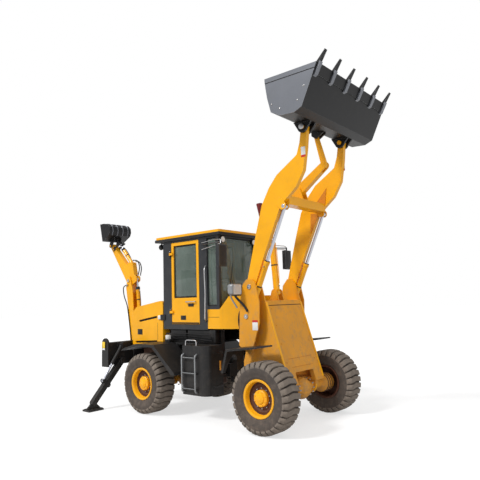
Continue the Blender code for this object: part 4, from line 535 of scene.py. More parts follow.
# %% Vinyl
VINYL_DARK, VINYL_WORN = (0.018, 0.018, 0.020, 1), (0.045, 0.045, 0.048, 1)
PEBBLES_PER_METRE = 210.0
tree, shader = new_material("seat_vinyl_grain")
spot = add(tree, "ShaderNodeTexCoord").outputs["Object"]
pebbles = add(tree, "ShaderNodeTexVoronoi", feature="SMOOTH_F1")
pebbles.inputs["Scale"].default_value = PEBBLES_PER_METRE
tree.links.new(spot, pebbles.inputs["Vector"])
polish = ranged(tree, noise(tree, spot, 5.0, 5), 0.35, 0.7)
tree.links.new(mixed(tree, polish, VINYL_DARK, VINYL_WORN), shader.inputs["Base Color"])
tree.links.new(ranged(tree, polish, 0.0, 1.0, 0.38, 0.62), shader.inputs["Roughness"])
bumped(tree, shader, pebbles.outputs["Distance"], 0.35, 0.001)
print("vinyl with", PEBBLES_PER_METRE, "pebbles to the metre")


def dressed(piece, finish, body):
    """Gives the piece its finish as its one material, and its body."""
    piece.data.materials.clear()
    piece.data.materials.append(materials[finish])
    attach(piece, body)
    return piece


# %% [markdown]
# ## The imported nodes
# Their shapes stay. A live Bevel softens each hard edge by a few millimetres, as a cut plate's edge is
# ground and painted, and each gets its finish. The tower's sloped plate and the axles take a darker
# amber, which is painted shade, with road dust on it, and the fenders and the frame are black.

# %% Dress the imported nodes
NODES_BY_FINISH = {
    "amber_enamel": ("engine_hood", "cab_roof", "front_cowl", "right_door", "left_door", "loader_arms",
                     "bell_crank", "bucket_link", "right_lift_barrel", "left_lift_barrel",
                     "tilt_barrel", "swing_post", "hoe_boom", "hoe_dipper", "boom_barrel",
                     "dipper_barrel", "curl_barrel"),
    "dusty_shaded_amber": ("front_frame", "rear_axle", "front_axle"),
    "charcoal_enamel": ("cab_shell",),
    "frame_black": ("rear_chassis", "fender_platform", "right_step_tank", "left_step_tank",
                    "right_front_fender", "left_front_fender", "hoe_rocker", "hoe_link",
                    "right_stabilizer_leg", "left_stabilizer_leg", "right_stay_barrel",
                    "left_stay_barrel"),
    "cast_iron": ("gearbox", "engine_block"),
    "black_plastic": ("steering_console",),
    "bucket_black": ("loader_bucket", "hoe_bucket"),
    "hard_chrome": tuple(name for name in nodes if name.endswith("_rod")),
}
SOFT_EDGE = 0.004
for finish, names in NODES_BY_FINISH.items():
    for name in names:
        node = nodes[name]
        node.data.materials.clear()
        node.data.materials.append(materials[finish])
        if name.endswith(("_barrel", "_rod")):
            continue
        weld = node.modifiers.new("weld", "WELD")
        weld.merge_threshold = 0.0001
        soften = node.modifiers.new("soften", "BEVEL")
        soften.width = SOFT_EDGE
        soften.segments = 2
        soften.limit_method = "ANGLE"
        soften.angle_limit = math.radians(38)
        soften.use_clamp_overlap = True
print("dressed", sum(len(names) for names in NODES_BY_FINISH.values()), "packed nodes")

# %% [markdown]
# ## Camera, floor and light
# The camera stands low at the front right corner, as a person with a camera would, and looks a little
# up. The floor is white to the camera but still takes the machine's shadow, and the light is plain:
# a broad sky with one high lamp from the right and a weak one from the front.

# %% Camera
CAMERA_PLACE = (6.690, -7.048, 1.982)
CAMERA_TURNS = (40.35, 6.823, -1.674)  # turn, tilt and roll in degrees
FOCAL_LENGTH = 37.87
turn, tilt, roll = (math.radians(value) for value in CAMERA_TURNS)
ahead = Vector((-math.sin(turn) * math.cos(tilt), math.cos(turn) * math.cos(tilt), math.sin(tilt)))
right = Vector((math.cos(turn), math.sin(turn), 0))
over = right.cross(ahead)
rolled_right = right * math.cos(roll) + over * math.sin(roll)
rolled_up = over * math.cos(roll) - right * math.sin(roll)
lens = bpy.data.cameras.new("photo_camera")
lens.lens = FOCAL_LENGTH
lens.sensor_width = 36.0
camera = bpy.data.objects.new("photo_camera", lens)
bpy.context.scene.collection.objects.link(camera)
basis = Matrix((rolled_right, rolled_up, -ahead)).transposed().to_4x4()
camera.matrix_world = Matrix.Translation(CAMERA_PLACE) @ basis
bpy.context.scene.camera = camera
bpy.context.scene.view_settings.view_transform = "Standard"
print("camera looks along", ahead)

# %% Floor, sky and lamps
FLOOR_COLOUR = (0.42, 0.42, 0.42, 1)
FLOOR_GLOW = 0.62
SKY_LIGHT, SKY_SEEN = 0.62, 1.0
SUNS = (
    # name, strength, width in degrees, the way it shines
    ("key_lamp", 2.3, 12, (0.30, 0.80, -0.85)),
    ("fill_lamp", 0.5, 40, (-0.9, 0.25, -0.3)),
)
bpy.ops.mesh.primitive_plane_add(size=160, location=(0, 0, -0.002))
floor = bpy.context.object
floor.name = "floor"
settled(floor)
tree, shader = new_material("pale_floor")
path = add(tree, "ShaderNodeLightPath")
indirect = sum_of(tree, "ADD", path.outputs["Is Glossy Ray"], path.outputs["Is Transmission Ray"])
seen = sum_of(tree, "ADD", path.outputs["Is Camera Ray"], indirect)
shader.inputs["Base Color"].default_value = FLOOR_COLOUR
shader.inputs["Roughness"].default_value = 0.9
shader.inputs["Emission Color"].default_value = (1, 1, 1, 1)
tree.links.new(ranged(tree, seen, 0.0, 1.0, 0.0, FLOOR_GLOW), shader.inputs["Emission Strength"])
floor.data.materials.append(materials["pale_floor"])
world = bpy.data.worlds.new("sky")
bpy.context.scene.world = world
world.use_nodes = True
tree = world.node_tree
path = add(tree, "ShaderNodeLightPath")
seen = sum_of(tree, "ADD", path.outputs["Is Camera Ray"], path.outputs["Is Transmission Ray"])
back = tree.nodes["Background"]
back.inputs["Color"].default_value = (1, 1, 1, 1)
tree.links.new(ranged(tree, seen, 0.0, 1.0, SKY_LIGHT, SKY_SEEN), back.inputs["Strength"])
for name, energy, spread, toward in SUNS:
    sun = bpy.data.lights.new(name, "SUN")
    sun.energy = energy
    sun.angle = math.radians(spread)
    lamp = bpy.data.objects.new(name, sun)
    bpy.context.scene.collection.objects.link(lamp)
    lamp.rotation_euler = Vector(toward).to_track_quat("-Z", "Y").to_euler()
print("floor, sky and", len(SUNS), "lamps")

# %% [markdown]
# ## Tyres
# An earth-mover tyre has thick full-width lugs with a kink in the middle, so it cleans itself and still
# runs smoothly. The carcass is a section spun round the hub. One lug starts as a flat grid across the
# tread, its rows are pushed back towards the shoulders for the kink, it is bent down at the shoulders
# and extruded up with a taper. It is then copied round the wheel.

# %% Carcass by spinning its section
TIP = 0.533
FLOOR_RADIUS = 0.500
LUGS = 30


def spun(name, rows, steps, close=True):
    """Spins a section of radius and offset round the Y axis at the origin."""
    mesh = bpy.data.meshes.new(name)
    ends = [(index, index + 1) for index in range(len(rows) - 1)]
    if close:
        ends.append((len(rows) - 1, 0))
    mesh.from_pydata([(radius, offset, 0) for radius, offset in rows], ends, [])
    piece = bpy.data.objects.new(name, mesh)
    bpy.context.scene.collection.objects.link(piece)
    alone(piece)
    bpy.ops.object.mode_set(mode="EDIT")
    bpy.ops.mesh.select_all(action="SELECT")
    bpy.ops.mesh.spin(steps=steps, angle=math.tau, center=(0, 0, 0), axis=(0, 1, 0))
    bpy.ops.mesh.select_all(action="SELECT")
    bpy.ops.mesh.remove_doubles(threshold=0.0002)
    bpy.ops.mesh.normals_make_consistent(inside=False)
    bpy.ops.object.mode_set(mode="OBJECT")
    return smooth(piece, 30)


# radius and offset across, from the tread's middle to the bead on one side
CARCASS = ((FLOOR_RADIUS, 0.0), (FLOOR_RADIUS, 0.12), (0.488, 0.165), (0.470, 0.190),
           (0.440, 0.202), (0.400, 0.204), (0.355, 0.196), (0.322, 0.183), (0.314, 0.183),
           (0.308, 0.176), (0.292, 0.170), (0.286, 0.160), (0.264, 0.158))
section = list(CARCASS) + [(radius, -offset) for radius, offset in reversed(CARCASS) if offset > 0]
carcass = spun("carcass", section, 72)
print("carcass", len(carcass.data.polygons), "faces")

# %% One lug, kinked, bent and tapered
LUG_THICK, LUG_HALF = 0.093, 0.20
KINK = 0.034
SUNK = 0.006
SHOULDER, SHOULDER_DROP = 0.78, 0.060
bpy.ops.mesh.primitive_grid_add(x_subdivisions=2, y_subdivisions=10, size=1, location=(0, 0, 0))
lug = bpy.context.object
lug.name = "lug"
lug.scale = (LUG_THICK, 2 * LUG_HALF, 1)
settled(lug)
for vertex in lug.data.vertices:
    share = abs(vertex.co.y) / LUG_HALF
    vertex.co.x += KINK * share - KINK / 2
    drop = SHOULDER_DROP * max(0.0, share - SHOULDER) / (1 - SHOULDER)
    vertex.co.z = FLOOR_RADIUS - SUNK - drop
alone(lug)
bpy.ops.object.mode_set(mode="EDIT")
bpy.ops.mesh.select_all(action="SELECT")
bpy.ops.mesh.extrude_region_move(TRANSFORM_OT_translate={"value": (0, 0, TIP - FLOOR_RADIUS + SUNK)})
bpy.ops.transform.resize(value=(0.86, 0.985, 1))
bpy.ops.mesh.select_all(action="SELECT")
bpy.ops.mesh.normals_make_consistent(inside=False)
bpy.ops.object.mode_set(mode="OBJECT")
shaped(lug, "BEVEL", width=0.003, segments=1, limit_method="ANGLE", angle_limit=math.radians(45))
for vertex in lug.data.vertices:
    angle = vertex.co.x / HUB
    radius = vertex.co.z
    vertex.co = (radius * math.sin(angle), vertex.co.y, radius * math.cos(angle))
print("one lug has", len(lug.data.polygons), "faces")

# %% The whole tyre, then four of them
GROOVE_RADIUS, GROOVE_HALF = 0.475, 0.185
turns = [Matrix.Rotation(math.tau * index / LUGS, 4, "Y") for index in range(LUGS)]
tread = joined("tread", [copied(lug, "lug_copy", matrix) for matrix in turns])
bpy.data.objects.remove(lug)
tread.data.materials.append(materials["tread_top"])
carcass.data.materials.append(materials["tyre_side"])
carcass.data.materials.append(materials["tread_groove"])
for face in carcass.data.polygons:
    middle = face.center
    if math.hypot(middle.x, middle.z) > GROOVE_RADIUS and abs(middle.y) < GROOVE_HALF:
        face.material_index = 1
tyre = joined("tyre", [carcass, smooth(tread, 30)])
wheels = [(end, side, at(x, sign * HALF_TRACK, HUB), sign)
          for end, x in (("rear", 0.0), ("front", WHEELBASE)) for side, sign in SIDES]
for end, side, hub, sign in wheels:
    piece = copied(tyre, f"{end}_{side}_tyre_dressed", Matrix.Translation(hub))
    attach(piece, f"{end}_{side}_wheel")
    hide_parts(f"{end}_{side}_tyre")
bpy.data.objects.remove(tyre)
print("four tyres with", LUGS, "lugs each")

# %% [markdown]
# ## Rims
# A multi-piece rim is a rolled ring with a deep drop, a disc welded far inside, and a planetary hub
# that stands out of it with its bolts. The section is spun once, with the deep dish in dark brown: painted
# shade, with dust on it.

# %% Rim, disc and hub cap
BEAD = 0.2615
# radius and offset across, from the hub cap's middle round the ring to the disc's inner face
SECTION = ((0.0, 0.150), (0.060, 0.150), (0.072, 0.144), (0.078, 0.132), (0.112, 0.130),
           (0.122, 0.122), (0.124, 0.078), (0.170, 0.072), (0.200, 0.085), (0.228, 0.078),
           (0.236, 0.090), (0.240, 0.150), (0.250, 0.170), (0.272, 0.178), (0.284, 0.174),
           (0.285, 0.163), (BEAD, 0.160), (BEAD, -0.160), (0.285, -0.163), (0.284, -0.174),
           (0.272, -0.178), (0.252, -0.170), (0.246, -0.120), (0.246, 0.040), (0.225, 0.058),
           (0.170, 0.060), (0.0, 0.060))
rim = spun("rim", SECTION, 64, close=False)
for finish in ("amber_enamel", "dish_shade_brown"):
    rim.data.materials.append(materials[finish])
# the dish, the faces behind the disc and the back take the dark brown: painted shade in the hollow
for face in rim.data.polygons:
    radius = math.hypot(face.center.x, face.center.z)
    in_dish = 0.126 < radius < 0.2355
    behind_disc = face.center.y < 0.10 and radius < 0.2605
    if in_dish or behind_disc or face.center.y < 0.0605:
        face.material_index = 1
print("rim", len(rim.data.polygons), "faces")

# %% Hub bolts and wheel nuts
FIXINGS = (
    # how many, circle, radius, foot, head, finish
    (8, 0.099, 0.0085, 0.128, 0.141, "amber_enamel"),
    (10, 0.148, 0.011, 0.070, 0.092, "worn_steel"),
)
fixings = []
for count, circle, radius, foot, head, finish in FIXINGS:
    for index in range(count):
        angle = math.tau * (index + 0.5) / count
        spot = Vector((circle * math.cos(angle), 0, circle * math.sin(angle)))
        nut = rod("nut", spot + Vector((0, foot, 0)), spot + Vector((0, head, 0)), radius, 0.0015, 6)
        nut.data.materials.append(materials[finish])
        fixings.append(nut)
cap = rod("cap", (0, 0.146, 0), (0, 0.154, 0), 0.040, 0.003, 32)
cap.data.materials.append(materials["amber_enamel"])
rim = joined("rim", [rim, cap] + fixings)
for end, side, hub, sign in wheels:
    matrix = Matrix.Translation(hub) @ (MIRROR if sign < 0 else Matrix.Identity(4))
    piece = copied(rim, f"{end}_{side}_rim_dressed", matrix)
    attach(piece, f"{end}_{side}_wheel")
    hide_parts(f"{end}_{side}_rim")
bpy.data.objects.remove(rim)
print("four rims with", len(fixings), "bolts and nuts each")

# %% [markdown]
# ## Glass and gaskets
# The cab is glazed on all sides. Each pane is held in its opening by a black rubber gasket. A pane is a
# thin slab with ground edges. Its gasket starts as a flat plane of the opening's size, is inset, loses
# its middle, and is given its depth.

# %% Helper for panes
PANE_HALF = 0.003
PANE_GAP = 0.004
GASKET_OVERLAP = 0.002
GASKET_DEPTH = 0.016


def glazing(name, low, high, axis, body, lip=0.022):
    """A pane and its gasket in an opening. The axis is the one that the glass faces."""
    low, high = Vector(low), Vector(high)
    middle = (low + high) / 2
    spans = high - low
    across = 0 if axis == 1 else 1
    gap = Vector([0 if index == axis else PANE_GAP for index in range(3)])
    pane_low, pane_high = low.copy(), high.copy()
    pane_low[axis], pane_high[axis] = middle[axis] - PANE_HALF, middle[axis] + PANE_HALF
    pane = slab(name + "_glass", pane_low + gap, pane_high - gap, 0.001)
    dressed(pane, "cab_glass", body)
    bpy.ops.mesh.primitive_plane_add(size=1, location=(0, 0, 0))
    gasket = bpy.context.object
    gasket.name = name + "_gasket"
    gasket.scale = (spans[across] + GASKET_OVERLAP, spans.z + GASKET_OVERLAP, 1)
    settled(gasket)
    bpy.ops.object.mode_set(mode="EDIT")
    bpy.ops.mesh.select_all(action="SELECT")
    bpy.ops.mesh.inset(thickness=lip, use_outset=False)
    bpy.ops.mesh.delete(type="FACE")
    bpy.ops.object.mode_set(mode="OBJECT")
    stand = Matrix.Rotation(math.radians(90), 4, "X")
    if axis == 0:
        stand = Matrix.Rotation(math.radians(90), 4, "Z") @ stand
    gasket.data.transform(Matrix.Translation(middle) @ stand)
    shaped(gasket, "SOLIDIFY", thickness=GASKET_DEPTH, offset=0.0)
    shaped(gasket, "BEVEL", width=0.004, segments=2, limit_method="ANGLE")
    dressed(smooth(gasket), "gasket_rubber", body)


# %% Panes of the cab
for side, sign in SIDES:
    near, far = sorted((sign * 0.485, sign * 0.525))
    glazing(side + "_door", at(0.268, near, 2.06), at(0.882, far, 3.052), 1,
            side + "_door_leaf", 0.03)
    glazing(side + "_quarter", at(1.15, near, 1.90), at(1.38, far, 3.12), 1, "rear_body")
glazing("windscreen", at(1.395, -0.47, 1.90), at(1.435, 0.47, 3.12), 0, "rear_body")
glazing("rear_window", at(-0.025, -0.47, 2.09), at(0.015, 0.47, 3.12), 0, "rear_body")
print("six panes and their gaskets")

# %% [markdown]
# ## Doors
# Each door leaf has a bar handle below the glass and a keyed latch under it, a small blank plate low
# down and a rubber seal along its sill. The handle is a bent bar on two feet, long enough for a glove.

# %% Door furniture
for side, sign in SIDES:
    skin = sign * 0.53
    grip_y = skin + sign * 0.04
    body = side + "_door_leaf"
    grip = tube(side + "_door_handle", [at(0.62, skin, 1.985), at(0.62, grip_y, 1.985),
                                        at(0.86, grip_y, 1.985), at(0.86, skin, 1.985)], 0.010, 0.02)
    dressed(grip, "satin_steel", body)
    latch = slab(side + "_door_latch", at(0.66, skin, 1.90),
                 at(0.80, skin + sign * 0.014, 1.955), 0.006, 3)
    dressed(latch, "black_plastic", body)
    plate = slab(side + "_door_plate", at(0.45, skin, 1.655),
                 at(0.59, skin + sign * 0.003, 1.735), 0.001)
    dressed(plate, "black_plastic", body)
    sill_seal = slab(side + "_door_sill", at(0.215, skin, 1.585),
                     at(0.935, skin + sign * 0.006, 1.610), 0.003)
    dressed(sill_seal, "gasket_rubber", body)
print("doors done")

# %% [markdown]
# ## The driver's seat
# A seat on such a machine is foam under stitched vinyl. Each cushion starts as a block, gets rounded
# edges and a fine surface by remeshing, and is blown up a little as cloth under pressure, so that its
# faces crown while its seams hold. It is then relaxed with a subdivision. The stand stays hard.

# %% Cushions
SEAT_PARTS = (
    # name, low corner, high corner
    ("seat_cushion", (0.292, -0.235, 1.872), (0.770, 0.235, 1.968)),
    ("seat_backrest", (0.172, -0.225, 1.985), (0.268, 0.225, 2.605)),
)
SEAM_EDGE = 0.90
STITCHED = (0.52, 0.57)
CROWN = 0.014
CLOTH_FRAMES = 14


def cushion(name, low, high):
    pad = slab(name, at(*low), at(*high), 0.022, 3)
    shaped(pad, "REMESH", mode="VOXEL", voxel_size=0.013)
    held = pad.vertex_groups.new(name="seam")
    middle = (at(*low) + at(*high)) / 2
    spans = (at(*high) - at(*low)) / 2
    thin = min(range(3), key=lambda axis: spans[axis])
    rest = [vertex.co.copy() for vertex in pad.data.vertices]
    for vertex in pad.data.vertices:
        offset = [abs(vertex.co[axis] - middle[axis]) / spans[axis] for axis in range(3)]
        edge = max(offset[axis] for axis in range(3) if axis != thin)
        on_seam = edge > SEAM_EDGE or STITCHED[0] < offset[1] < STITCHED[1]
        held.add([vertex.index], 1.0 if on_seam else 0.0, "REPLACE")
    alone(pad)
    bpy.ops.object.modifier_add(type="CLOTH")
    cloth = pad.modifiers[-1]
    cloth.settings.quality = 4
    cloth.settings.mass = 0.3
    cloth.settings.vertex_group_mass = "seam"
    cloth.settings.use_pressure = True
    cloth.settings.uniform_pressure_force = 3.0
    cloth.settings.effector_weights.gravity = 0.0
    cloth.point_cache.frame_start = 1
    cloth.point_cache.frame_end = CLOTH_FRAMES
    for step in range(1, CLOTH_FRAMES + 1):
        bpy.context.scene.frame_set(step)
    bpy.ops.object.modifier_apply(modifier=cloth.name)
    bpy.context.scene.frame_set(1)
    for vertex, start in zip(pad.data.vertices, rest):
        move = vertex.co - start
        if move.length > CROWN:
            vertex.co = start + move.normalized() * CROWN
    shaped(pad, "SUBSURF", levels=1, render_levels=1)
    smooth(pad, 80)
    dressed(pad, "seat_vinyl_grain", "rear_body")
    return pad


seat_pads = [cushion(*row) for row in SEAT_PARTS]
seat_stand = slab("seat_stand", at(0.29, -0.19, 1.535), at(0.67, 0.19, 1.868), 0.02, 3)
dressed(seat_stand, "black_plastic", "rear_body")
seat_shell = slab("seat_shell", at(0.160, -0.24, 1.88), at(0.174, 0.24, 2.60), 0.006)
dressed(seat_shell, "black_plastic", "rear_body")
for piece in seat_pads + [seat_stand, seat_shell]:
    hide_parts("operator_seat")
print("seat with", len(seat_pads), "cushions")

# %% [markdown]
# ## Levers and dials
# Beside the seat stand the levers for the loader and the hoe, with round knobs. They are thin rods
# that end in a ball, so each ball is a small cylinder with a heavy bevel.

# %% Levers
CAB_FLOOR = 1.535
LEVER_FEET = ((0.86, -0.36), (0.90, -0.41), (0.50, 0.34), (0.56, 0.40))
for index, (x, y) in enumerate(LEVER_FEET):
    foot = at(x, y, CAB_FLOOR)
    knob = at(x - 0.05, y, 2.16)
    box = slab(f"lever_box_{index}", foot - Vector((0.04, 0.022, 0)),
               foot + Vector((0.04, 0.022, 0.20)), 0.008)
    stem = rod(f"lever_{index}", foot + Vector((0, 0, 0.19)), knob, 0.007)
    ball = rod(f"lever_knob_{index}", knob - Vector((0, 0, 0.02)),
               knob + Vector((0, 0, 0.025)), 0.020, 0.012, 20)
    dressed(box, "black_plastic", "rear_body")
    dressed(stem, "satin_steel", "rear_body")
    dressed(ball, "black_plastic", "rear_body")
binnacle = slab("dial_binnacle", at(1.035, -0.13, 2.09), at(1.115, 0.13, 2.19), 0.02, 3)
dressed(binnacle, "black_plastic", "rear_body")
for index in range(3):
    y = -0.08 + 0.08 * index
    dial = rod(f"dial_{index}", at(1.030, y, 2.145), at(1.040, y, 2.145), 0.030, 0.003)
    dressed(dial, "satin_steel", "rear_body")
print("levers:", len(LEVER_FEET))

# %% [markdown]
# ## Cab trim
# Outside the cab there are a black underside to the roof, a grab handle down each front pillar, the
# wiper, the lamps under the roof's corners, and the door hinges' caps. The mirror hangs from a bright
# loop that leaves the pillar's top, with its glass facing the driver. Under the doors stand the
# battery's box and the valves' box, with hoses along them.

# %% Roof and pillars
STAY_RADIUS = 0.0075
under = slab("roof_lining", at(-0.224, -0.574, 3.150), at(1.504, 0.574, 3.205), 0.004)
dressed(under, "black_plastic", "rear_body")
for side, sign in SIDES:
    pillar_y = sign * 0.53
    grab_places = [at(1.12, pillar_y, 2.62), at(1.135, pillar_y + sign * 0.055, 2.56),
                   at(1.165, pillar_y + sign * 0.070, 2.10), at(1.13, pillar_y + sign * 0.055, 1.66),
                   at(1.11, pillar_y, 1.62)]
    grab = tube(side + "_pillar_handle", grab_places, 0.011, 0.06)
    dressed(grab, "satin_steel", "rear_body")
    loop_places = [at(1.03, pillar_y, 3.045), at(1.50, sign * 0.70, 3.045),
                   at(1.86, sign * 0.93, 3.00), at(1.885, sign * 0.945, 2.93)]
    loop = tube(side + "_mirror_loop", loop_places, STAY_RADIUS, 0.08)
    dressed(loop, "satin_steel", "rear_body")
    stay_places = [at(1.03, pillar_y, 2.92), at(1.50, sign * 0.70, 2.945),
                   at(1.84, sign * 0.92, 2.935), at(1.875, sign * 0.935, 2.90)]
    stay = tube(side + "_mirror_stay", stay_places, STAY_RADIUS, 0.08)
    dressed(stay, "satin_steel", "rear_body")
    near, far = sorted((sign * 0.838, sign * 1.022))
    housing = slab(side + "_mirror_housing", at(1.847, near - 0.002, 2.546),
                   at(1.916, far + 0.002, 2.914), 0.030, 4)
    dressed(housing, "black_plastic", "rear_body")
    face = slab(side + "_mirror_glass", at(1.842, near + 0.018, 2.572),
                at(1.850, far - 0.018, 2.888), 0.0035)
    dressed(face, "mirror_face", "rear_body")
    hinge_y = sign * 0.552
    for z in (1.80, 2.90):
        cap = rod(f"{side}_hinge_cap_{int(z * 10)}", at(0.19, hinge_y, z + 0.049),
                  at(0.19, hinge_y, z + 0.058), 0.013, 0.003, 20)
        dressed(cap, "satin_steel", "rear_body")
print("handles, mirrors and hinge caps done")

# %% Boxes and pipes under the cab
BOX_FOOT, BOX_TOP = 1.245, 1.474
for side, sign in SIDES:
    low, high = sign * 0.34, sign * 0.505
    box = slab(side + "_battery_box", at(0.60, low, BOX_FOOT), at(1.30, high, BOX_TOP), 0.012)
    dressed(box, "frame_black", "rear_body")
    rear_box = slab(side + "_valve_box", at(0.14, low, BOX_FOOT), at(0.55, high, BOX_TOP), 0.012)
    dressed(rear_box, "frame_black", "rear_body")
    for index in range(3):
        y = sign * (0.525 + 0.026 * index)
        places = [at(0.10, y, 1.30 + 0.05 * index), at(0.62, y, 1.33 + 0.04 * index),
                  at(1.24, y, 1.29 + 0.05 * index)]
        line = tube(f"{side}_under_hose_{index}", places, 0.011, 0.2)
        dressed(line, "hose_rubber", "rear_body")
print("boxes", round(BOX_TOP - BOX_FOOT, 3), "m high under the cab")

# %% Lamps under the roof
ROOF_LAMPS = (
    # end, its place along the cab, the way it faces, the finish of its lens
    ("front", 1.445, 1, "label_white"),
    ("rear", -0.17, -1, "lens_glass"),
)
LAMP_HEIGHT = 3.075
for label, x, faced, finish in ROOF_LAMPS:
    for side, sign in SIDES:
        y = sign * 0.44
        shell = rod(f"{side}_{label}_lamp", at(x - faced * 0.035, y, LAMP_HEIGHT),
                    at(x + faced * 0.03, y, LAMP_HEIGHT), 0.045, 0.008, 32, 0.058)
        dressed(shell, "black_plastic", "rear_body")
        glass = rod(f"{side}_{label}_lamp_lens", at(x + faced * 0.028, y, LAMP_HEIGHT),
                    at(x + faced * 0.036, y, LAMP_HEIGHT), 0.050, 0.003)
        dressed(glass, finish, "rear_body")
        bracket = slab(f"{side}_{label}_lamp_bracket", at(x - 0.012, y - 0.012, 3.10),
                       at(x + 0.012, y + 0.012, 3.155), 0.004)
        dressed(bracket, "black_plastic", "rear_body")
print("roof lamps:", len(SIDES) * len(ROOF_LAMPS))

# %% Wiper
blade = tube("wiper_blade", [at(1.452, -0.30, 2.02), at(1.455, -0.22, 2.40),
                             at(1.452, -0.16, 2.66)], 0.006, 0.05)
dressed(blade, "gasket_rubber", "rear_body")
arm = tube("wiper_arm", [at(1.445, -0.05, 1.90), at(1.462, -0.06, 1.93),
                         at(1.462, -0.215, 2.38)], 0.005, 0.03)
dressed(arm, "black_plastic", "rear_body")
motor = rod("wiper_pivot", at(1.435, -0.05, 1.90), at(1.462, -0.05, 1.90), 0.018, 0.004)
dressed(motor, "black_plastic", "rear_body")
print("wiper done")

# %% [markdown]
# ## Hood and cowl details
# Behind the hood's slots is a dark screen with thin bars before it. A shallow seam shows where the hood
# lifts, with a lamp and its latch at the front upper edge and a blank plate low down. The cowl has a
# level panel line, and a plain filler cap stands beside the cab on the right.

# %% Hood, cowl and caps
SLOTS = (
    # the slot's rear lower end, then its front upper end
    (-0.76, 1.63, -0.25, 1.71),
    (-0.88, 1.21, -0.25, 1.24),
)
SCREEN_RIM = 0.06
for side, sign in SIDES:
    inner = sign * 0.505
    bar_y = inner + sign * 0.004
    for index, (x0, z0, x1, z1) in enumerate(SLOTS):
        screen = slab(f"{side}_slot_screen_{index}", at(x0 - SCREEN_RIM, inner, z0 - SCREEN_RIM),
                      at(x1 + SCREEN_RIM, inner - sign * 0.006, z1 + SCREEN_RIM), 0.002)
        dressed(screen, "gasket_rubber", "rear_body")
        for bar_index in range(3):
            z = z0 + (bar_index - 1) * 0.012
            louvre = rod(f"{side}_slot_bar_{index}_{bar_index}", at(x0, bar_y, z),
                         at(x1, bar_y, z + z1 - z0), 0.0028, 0, 8)
            dressed(louvre, "black_plastic", "rear_body")
    skin, proud = sign * 0.528, sign * 0.5325
    seam = slab(f"{side}_hood_seam", at(-0.215, skin, 1.26), at(-0.209, proud, 1.60), 0.001)
    dressed(seam, "gasket_rubber", "rear_body")
    lamp = slab(f"{side}_hood_lamp", at(-0.185, sign * 0.52, 1.66),
                at(-0.105, sign * 0.555, 1.74), 0.012, 3)
    dressed(lamp, "label_white", "rear_body")
    latch = slab(f"{side}_hood_latch", at(-0.115, sign * 0.52, 1.645),
                 at(0.02, sign * 0.550, 1.755), 0.006)
    dressed(latch, "black_plastic", "rear_body")
    plate = slab(f"{side}_hood_plate", at(-0.83, skin, 1.36), at(-0.68, proud, 1.47), 0.001)
    dressed(plate, "black_plastic", "rear_body")
    line = slab(f"{side}_cowl_line", at(1.17, skin, 1.700), at(1.43, proud, 1.706), 0.001)
    dressed(line, "gasket_rubber", "rear_body")
cap = rod("filler_cap", at(0.17, -0.60, 1.29), at(0.17, -0.60, 1.375), 0.052, 0.010)
dressed(cap, "label_white", "rear_body")
neck = rod("filler_neck", at(0.17, -0.60, 1.225), at(0.17, -0.60, 1.30), 0.064, 0.006)
dressed(neck, "frame_black", "rear_body")
print("slots on each side of the hood:", len(SLOTS))

# %% [markdown]
# ## Tanks and ladders
# The rungs stand between two side bars, and a bright loop at the top is the first hold when climbing.
# A gauge glass on the tank's front shows the oil, and straps hold the tank.

# %% Ladder bars, loops and gauge
for side, sign in SIDES:
    y, tank_y, loop_y = sign * 1.0, sign * 0.948, sign * 0.93
    for index, x in enumerate((0.960, 1.280)):
        upright = tube(f"{side}_ladder_bar_{index}", [at(x, tank_y, 0.465), at(x, y, 0.485),
                                                      at(x, y, 1.075), at(x, tank_y, 1.10)], 0.0135, 0.03)
        dressed(upright, "lever_grey", "rear_body")
    for index, z in enumerate((0.5225, 0.779, 1.035)):
        grip = slab(f"{side}_rung_tread_{index}", at(0.975, y - sign * 0.018, z + 0.006),
                    at(1.265, y + sign * 0.013, z + 0.015), 0.003)
        dressed(grip, "lever_grey", "rear_body")
    loop = tube(side + "_tank_loop", [at(0.99, loop_y, 1.235), at(0.99, loop_y, 1.33),
                                      at(1.25, loop_y, 1.33), at(1.25, loop_y, 1.235)], 0.009, 0.05)
    dressed(loop, "satin_steel", "rear_body")
    gauge = slab(side + "_sight_gauge", at(1.515, sign * 0.62, 0.82),
                 at(1.532, sign * 0.655, 0.98), 0.006, 3)
    dressed(gauge, "amber_lens", "rear_body")
    for index, z in enumerate((0.55, 1.10)):
        strap = slab(f"{side}_tank_strap_{index}", at(1.516, sign * 0.57, z),
                     at(1.526, sign * 0.80, z + 0.035), 0.003)
        dressed(strap, "frame_black", "rear_body")
print("ladders done")

# %% [markdown]
# ## Headlamps
# A headlamp is a rounded case with a grey bezel, a bright bowl and a clear lens, on a thick black
# bracket that slants down to the ear. A grey sleeve carries its cable to the ear, and two hoses hang
# behind each ear.

